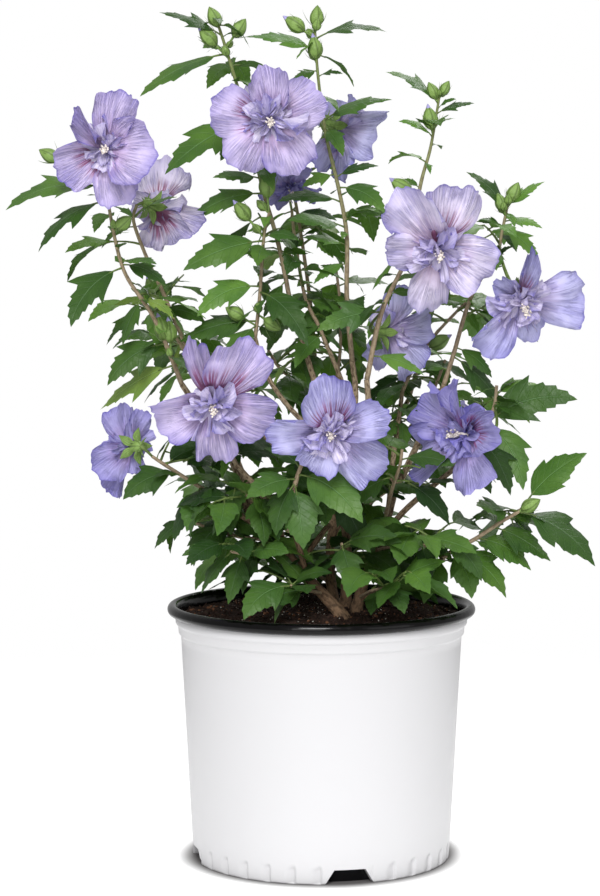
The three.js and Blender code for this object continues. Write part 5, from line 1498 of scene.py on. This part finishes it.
class FlowerLooks(bpy.types.PropertyGroup):
    """The flowers and buds"""
    lilac: colour_property("Lilac", "Colour of lilac petals", (0.85, 0.795, 0.94))
    pale: colour_property("Pale", "Colour of the palest petals", (0.925, 0.885, 0.985))
    blue: colour_property("Blue", "Colour of bluish petals", (0.80, 0.79, 0.955))
    violet: colour_property("Violet", "Colour of the deepest petals", (0.70, 0.675, 0.88))
    # the rim colour is also the colour of the petals' painted shade
    rim: colour_property("Rim", "Colour of petal rims and veins", (0.33, 0.30, 0.69))
    inner: colour_property("Inner", "Colour of the small inner petals", (0.925, 0.89, 0.985))
    eye: colour_property("Eye", "Colour of the streaks at the foot of each petal", (0.56, 0.12, 0.36))
    column: colour_property("Column", "Colour of the column and anthers", (0.97, 0.93, 0.89))
    bud: colour_property("Buds", "Colour of buds and cups", (0.50, 0.62, 0.32))
    tuft_count: IntProperty(
        name="Inner petals", description="Small folded petals in each flower", default=25, min=1, max=40)


class StageLooks(bpy.types.PropertyGroup):
    """The floor and the light"""
    floor: colour_property("Floor", "Colour of the floor", (0.98, 0.98, 0.98))
    floor_glow: FloatProperty(
        name="Floor glow", description="Light that the floor gives of itself",
        default=0.46, min=0.0, max=2.0)
    ambient: FloatProperty(
        name="Ambient", description="Strength of the even light from all round",
        default=0.44, min=0.0, max=3.0)


LOOKS = {
    "shrub_pot": PotLooks,
    "shrub_bark": BarkLooks,
    "shrub_foliage": FoliageLooks,
    "shrub_flowers": FlowerLooks,
    "shrub_stage": StageLooks,
}

# ---------------------------------------------------------------- operators

grown = {}


def plant():
    """The plant, grown once and kept for the operators that come after."""
    if "plant" not in grown:
        grown["plant"] = Plant(bpy.context.scene.shrub_foliage.density)
    return grown["plant"]


def chosen(table, keep):
    """The rows of a table of arrays that are to be kept."""
    return {name: values[keep] for name, values in table.items()}


class SHRUB_OT_pot(bpy.types.Operator):
    """Build the pot's wall, its black lip and liner"""
    bl_idname = "shrub.pot"
    bl_label = "Pot"

    def execute(self, context):
        looks = context.scene.shrub_pot
        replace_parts(make("pot_wall", pot_paint(looks), "pot", pot_grid()), "pot")
        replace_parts(make("rolled_lip", lip_paint(looks), "lip", lip_grid()), "pot_lip")
        return {"FINISHED"}


class SHRUB_OT_soil(bpy.types.Operator):
    """Build the soil with its loose crumbs and pale grains"""
    bl_idname = "shrub.soil"
    bl_label = "Soil"

    def execute(self, context):
        looks = context.scene.shrub_pot
        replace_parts(make("soil_bed", soil_paint(looks), "soil", soil_grid()), "soil")
        dark = tuple(c * 1.15 for c in looks.soil_colour)
        for name, count, sizes, colour, seed in (    # sizes are radii in millimetres
                ("soil_crumbs", looks.crumb_count, (0.9, 3.6), dark, 901),
                ("bark_bits", looks.crumb_count // 6, (0.9, 3.2), (0.46, 0.31, 0.22), 902),
                ("pale_grains", looks.grain_count, (0.4, 1.0), (0.86, 0.84, 0.80), 903)):
            make(name, plain_paint(name, colour, 0.95), "soil", crumbs(count, sizes, seed))
        return {"FINISHED"}


class SHRUB_OT_limbs(bpy.types.Operator):
    """Build the stems and boughs with the relief of their bark"""
    bl_idname = "shrub.limbs"
    bl_label = "Stems and boughs"

    def execute(self, context):
        looks = context.scene.shrub_bark
        grids = (limb_grid(limb, LIMB_SIDES, LIMB_RINGS, looks.relief) for limb in LIMBS)
        piece = make("bark", bark_paint(looks), "bark", *grids)
        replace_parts(piece, *(limb["name"] for limb in LIMBS))
        return {"FINISHED"}


class SHRUB_OT_shoots(bpy.types.Operator):
    """Build the shoots, their twigs and the leaf stalks"""
    bl_idname = "shrub.shoots"
    bl_label = "Shoots and twigs"

    def execute(self, context):
        looks = context.scene.shrub_bark
        grids = (limb_grid(shoot, SHOOT_SIDES, SHOOT_RINGS, looks.relief) for shoot in SHOOTS)
        piece = make("shoot_stems", stem_paint(looks), "bark", *grids)
        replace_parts(piece, *(shoot["name"] for shoot in SHOOTS))
        twigs = np.array(plant().twigs)
        s = np.linspace(0, 1, 5)[:, None]
        foot, tip = twigs[:, None, :3], twigs[:, None, 3:]
        arch = np.array([0.0, 0.0, 1.6]) * s * (1 - s) * 4
        stems = tube(foot + (tip - foot) * s + arch, np.array([1.25, 1.1, 0.95, 0.85, 0.7]), 6)
        paint = plain_paint("green_twig", context.scene.shrub_foliage.twig, 0.55, depth=0.0003)
        make("twigs", paint, "foliage", stems, leaf_stalks(plant().leaves), pedicels(plant().flowers))
        return {"FINISHED"}


class SHRUB_OT_leaves(bpy.types.Operator):
    """Build the leaves, in one piece for each of their greens"""
    bl_idname = "shrub.leaves"
    bl_label = "Leaves"

    def execute(self, context):
        looks = context.scene.shrub_foliage
        leaves = plant().leaves
        for number, green in enumerate(GREENS):
            sheets = leaf_sheets(chosen(leaves, leaves["green"] == number))
            paint = leaf_paint("leaf_" + green, getattr(looks, green))
            make("leaves_" + green, paint, "foliage", sheets)
        return {"FINISHED"}


class SHRUB_OT_flowers(bpy.types.Operator):
    """Build the petals, inner petals, columns and cups of the flowers"""
    bl_idname = "shrub.flowers"
    bl_label = "Flowers"

    def execute(self, context):
        looks = context.scene.shrub_flowers
        flowers, petals = plant().flowers, plant().petals
        for number, tint in enumerate(TINTS):
            grids = petal_grids(flowers, chosen(petals, petals["tint"] == number), *PETAL_GRID)
            paint = petal_paint("petal_" + tint, getattr(looks, tint), looks.rim, looks.eye)
            make("petals_" + tint, paint, "petals", grids)
        inner = inner_petals(flowers, looks.tuft_count, seed=4101)
        is_violet = inner["tint"] == TINTS.index("violet")
        for name, keep, colour in (
                ("inner_petals", ~is_violet, looks.inner),
                ("inner_petals_violet", is_violet, looks.violet)):
            grids = petal_grids(flowers, chosen(inner, keep), *INNER_PETAL_GRID)
            make(name, inner_petal_paint(name, colour, looks.rim), "petals", grids)
        paint = plain_paint("cream_column", looks.column, 0.6, depth=0.0002)
        make("flower_columns", paint, "petals", *flower_columns(flowers))
        make("flower_cups", bud_paint(looks), "foliage", *calyx_sheets(flowers))
        return {"FINISHED"}


class SHRUB_OT_buds(bpy.types.Operator):
    """Build the buds with their stalks, bracts and violet tips"""
    bl_idname = "shrub.buds"
    bl_label = "Buds"

    def execute(self, context):
        looks = context.scene.shrub_flowers
        bodies, stalks, bracts, violet = bud_parts(np.array(plant().buds))
        make("buds", bud_paint(looks), "foliage", bodies, stalks, bracts)
        make("bud_tips", plain_paint("bud_tip", looks.violet, 0.6, 160, 0.0005), "petals", violet)
        return {"FINISHED"}


def area_light(name, place, width, power):
    """A square soft light that faces the target: its fall from straight down is
    atan2(level, -up), and its turn is the target's bearing less a right angle."""
    light = bpy.data.lights.new(name, "AREA")
    light.size = width
    light.energy = power
    lamp = bpy.data.objects.new(name, light)
    lamp.location = place
    x, y, z = np.array(LIGHT_TARGET) - np.array(place)
    lamp.rotation_euler = (math.atan2(math.hypot(x, y), -z), 0, math.atan2(y, x) - math.pi / 2)
    bpy.context.scene.collection.objects.link(lamp)


def studio_world(ambient):
    """An even white light from all round, which the camera sees as plain white."""
    world = bpy.data.worlds.new("studio")
    world.use_nodes = True
    nodes, links = world.node_tree.nodes, world.node_tree.links
    seen, even = nodes.new("ShaderNodeBackground"), nodes["Background"]
    for background, strength in ((seen, 1.0), (even, ambient)):
        background.inputs["Color"].default_value = (1, 1, 1, 1)
        background.inputs["Strength"].default_value = strength
    path = nodes.new("ShaderNodeLightPath")
    mixed = nodes.new("ShaderNodeMixShader")
    links.new(path.outputs["Is Camera Ray"], mixed.inputs[0])
    links.new(even.outputs[0], mixed.inputs[1])
    links.new(seen.outputs[0], mixed.inputs[2])
    links.new(mixed.outputs[0], nodes["World Output"].inputs["Surface"])
    return world


class SHRUB_OT_stage(bpy.types.Operator):
    """Build the floor, the lights and the camera"""
    bl_idname = "shrub.stage"
    bl_label = "Stage"

    def execute(self, context):
        scene = context.scene
        looks = scene.shrub_stage
        half = FLOOR_HALF
        mesh = bpy.data.meshes.new("floor")
        corners = [(-half, -half, 0), (half, -half, 0), (half, half, 0), (-half, half, 0)]
        mesh.from_pydata(corners, [], [(0, 1, 2, 3)])
        mesh.materials.append(floor_paint(looks).material)
        floor = bpy.data.objects.new("floor", mesh)
        scene.collection.objects.link(floor)

        scene.world = studio_world(looks.ambient)
        scene.view_settings.view_transform = "Standard"
        for name, (place, width, power) in LIGHTS.items():
            area_light(name, place, width, power)

        data = bpy.data.cameras.new("front")
        data.lens = CAMERA_LENS
        data.sensor_width = SENSOR_WIDTH
        data.clip_end = FAR_END
        camera = bpy.data.objects.new("front", data)
        camera.location = CAMERA_PLACE
        camera.rotation_euler = (math.radians(90 - CAMERA_FALL), 0, 0)
        scene.collection.objects.link(camera)
        scene.camera = camera
        return {"FINISHED"}


OPERATORS = (SHRUB_OT_pot, SHRUB_OT_soil, SHRUB_OT_limbs, SHRUB_OT_shoots, SHRUB_OT_leaves,
             SHRUB_OT_flowers, SHRUB_OT_buds, SHRUB_OT_stage)


class SHRUB_PT_sidebar(bpy.types.Panel):
    """Lists the looks and the operators that build the shrub"""
    bl_idname = "SHRUB_PT_sidebar"
    bl_label = "Potted shrub"
    bl_space_type = "VIEW_3D"
    bl_region_type = "UI"
    bl_category = "Shrub"

    def draw(self, context):
        for name, looks in LOOKS.items():
            box = self.layout.box()
            for key in looks.__annotations__:
                box.prop(getattr(context.scene, name), key)
        for operator in OPERATORS:
            self.layout.operator(operator.bl_idname)


def register():
    for kind in (*LOOKS.values(), *OPERATORS, SHRUB_PT_sidebar):
        bpy.utils.register_class(kind)
    for name, looks in LOOKS.items():
        setattr(bpy.types.Scene, name, PointerProperty(type=looks))


def unregister():
    for name in LOOKS:
        delattr(bpy.types.Scene, name)
    for kind in reversed((*LOOKS.values(), *OPERATORS, SHRUB_PT_sidebar)):
        bpy.utils.unregister_class(kind)


def main():
    """Builds every piece and the stage."""
    register()
    for operator in OPERATORS:
        family, name = operator.bl_idname.split(".")
        getattr(getattr(bpy.ops, family), name)()


if __name__ == "__main__":
    main()
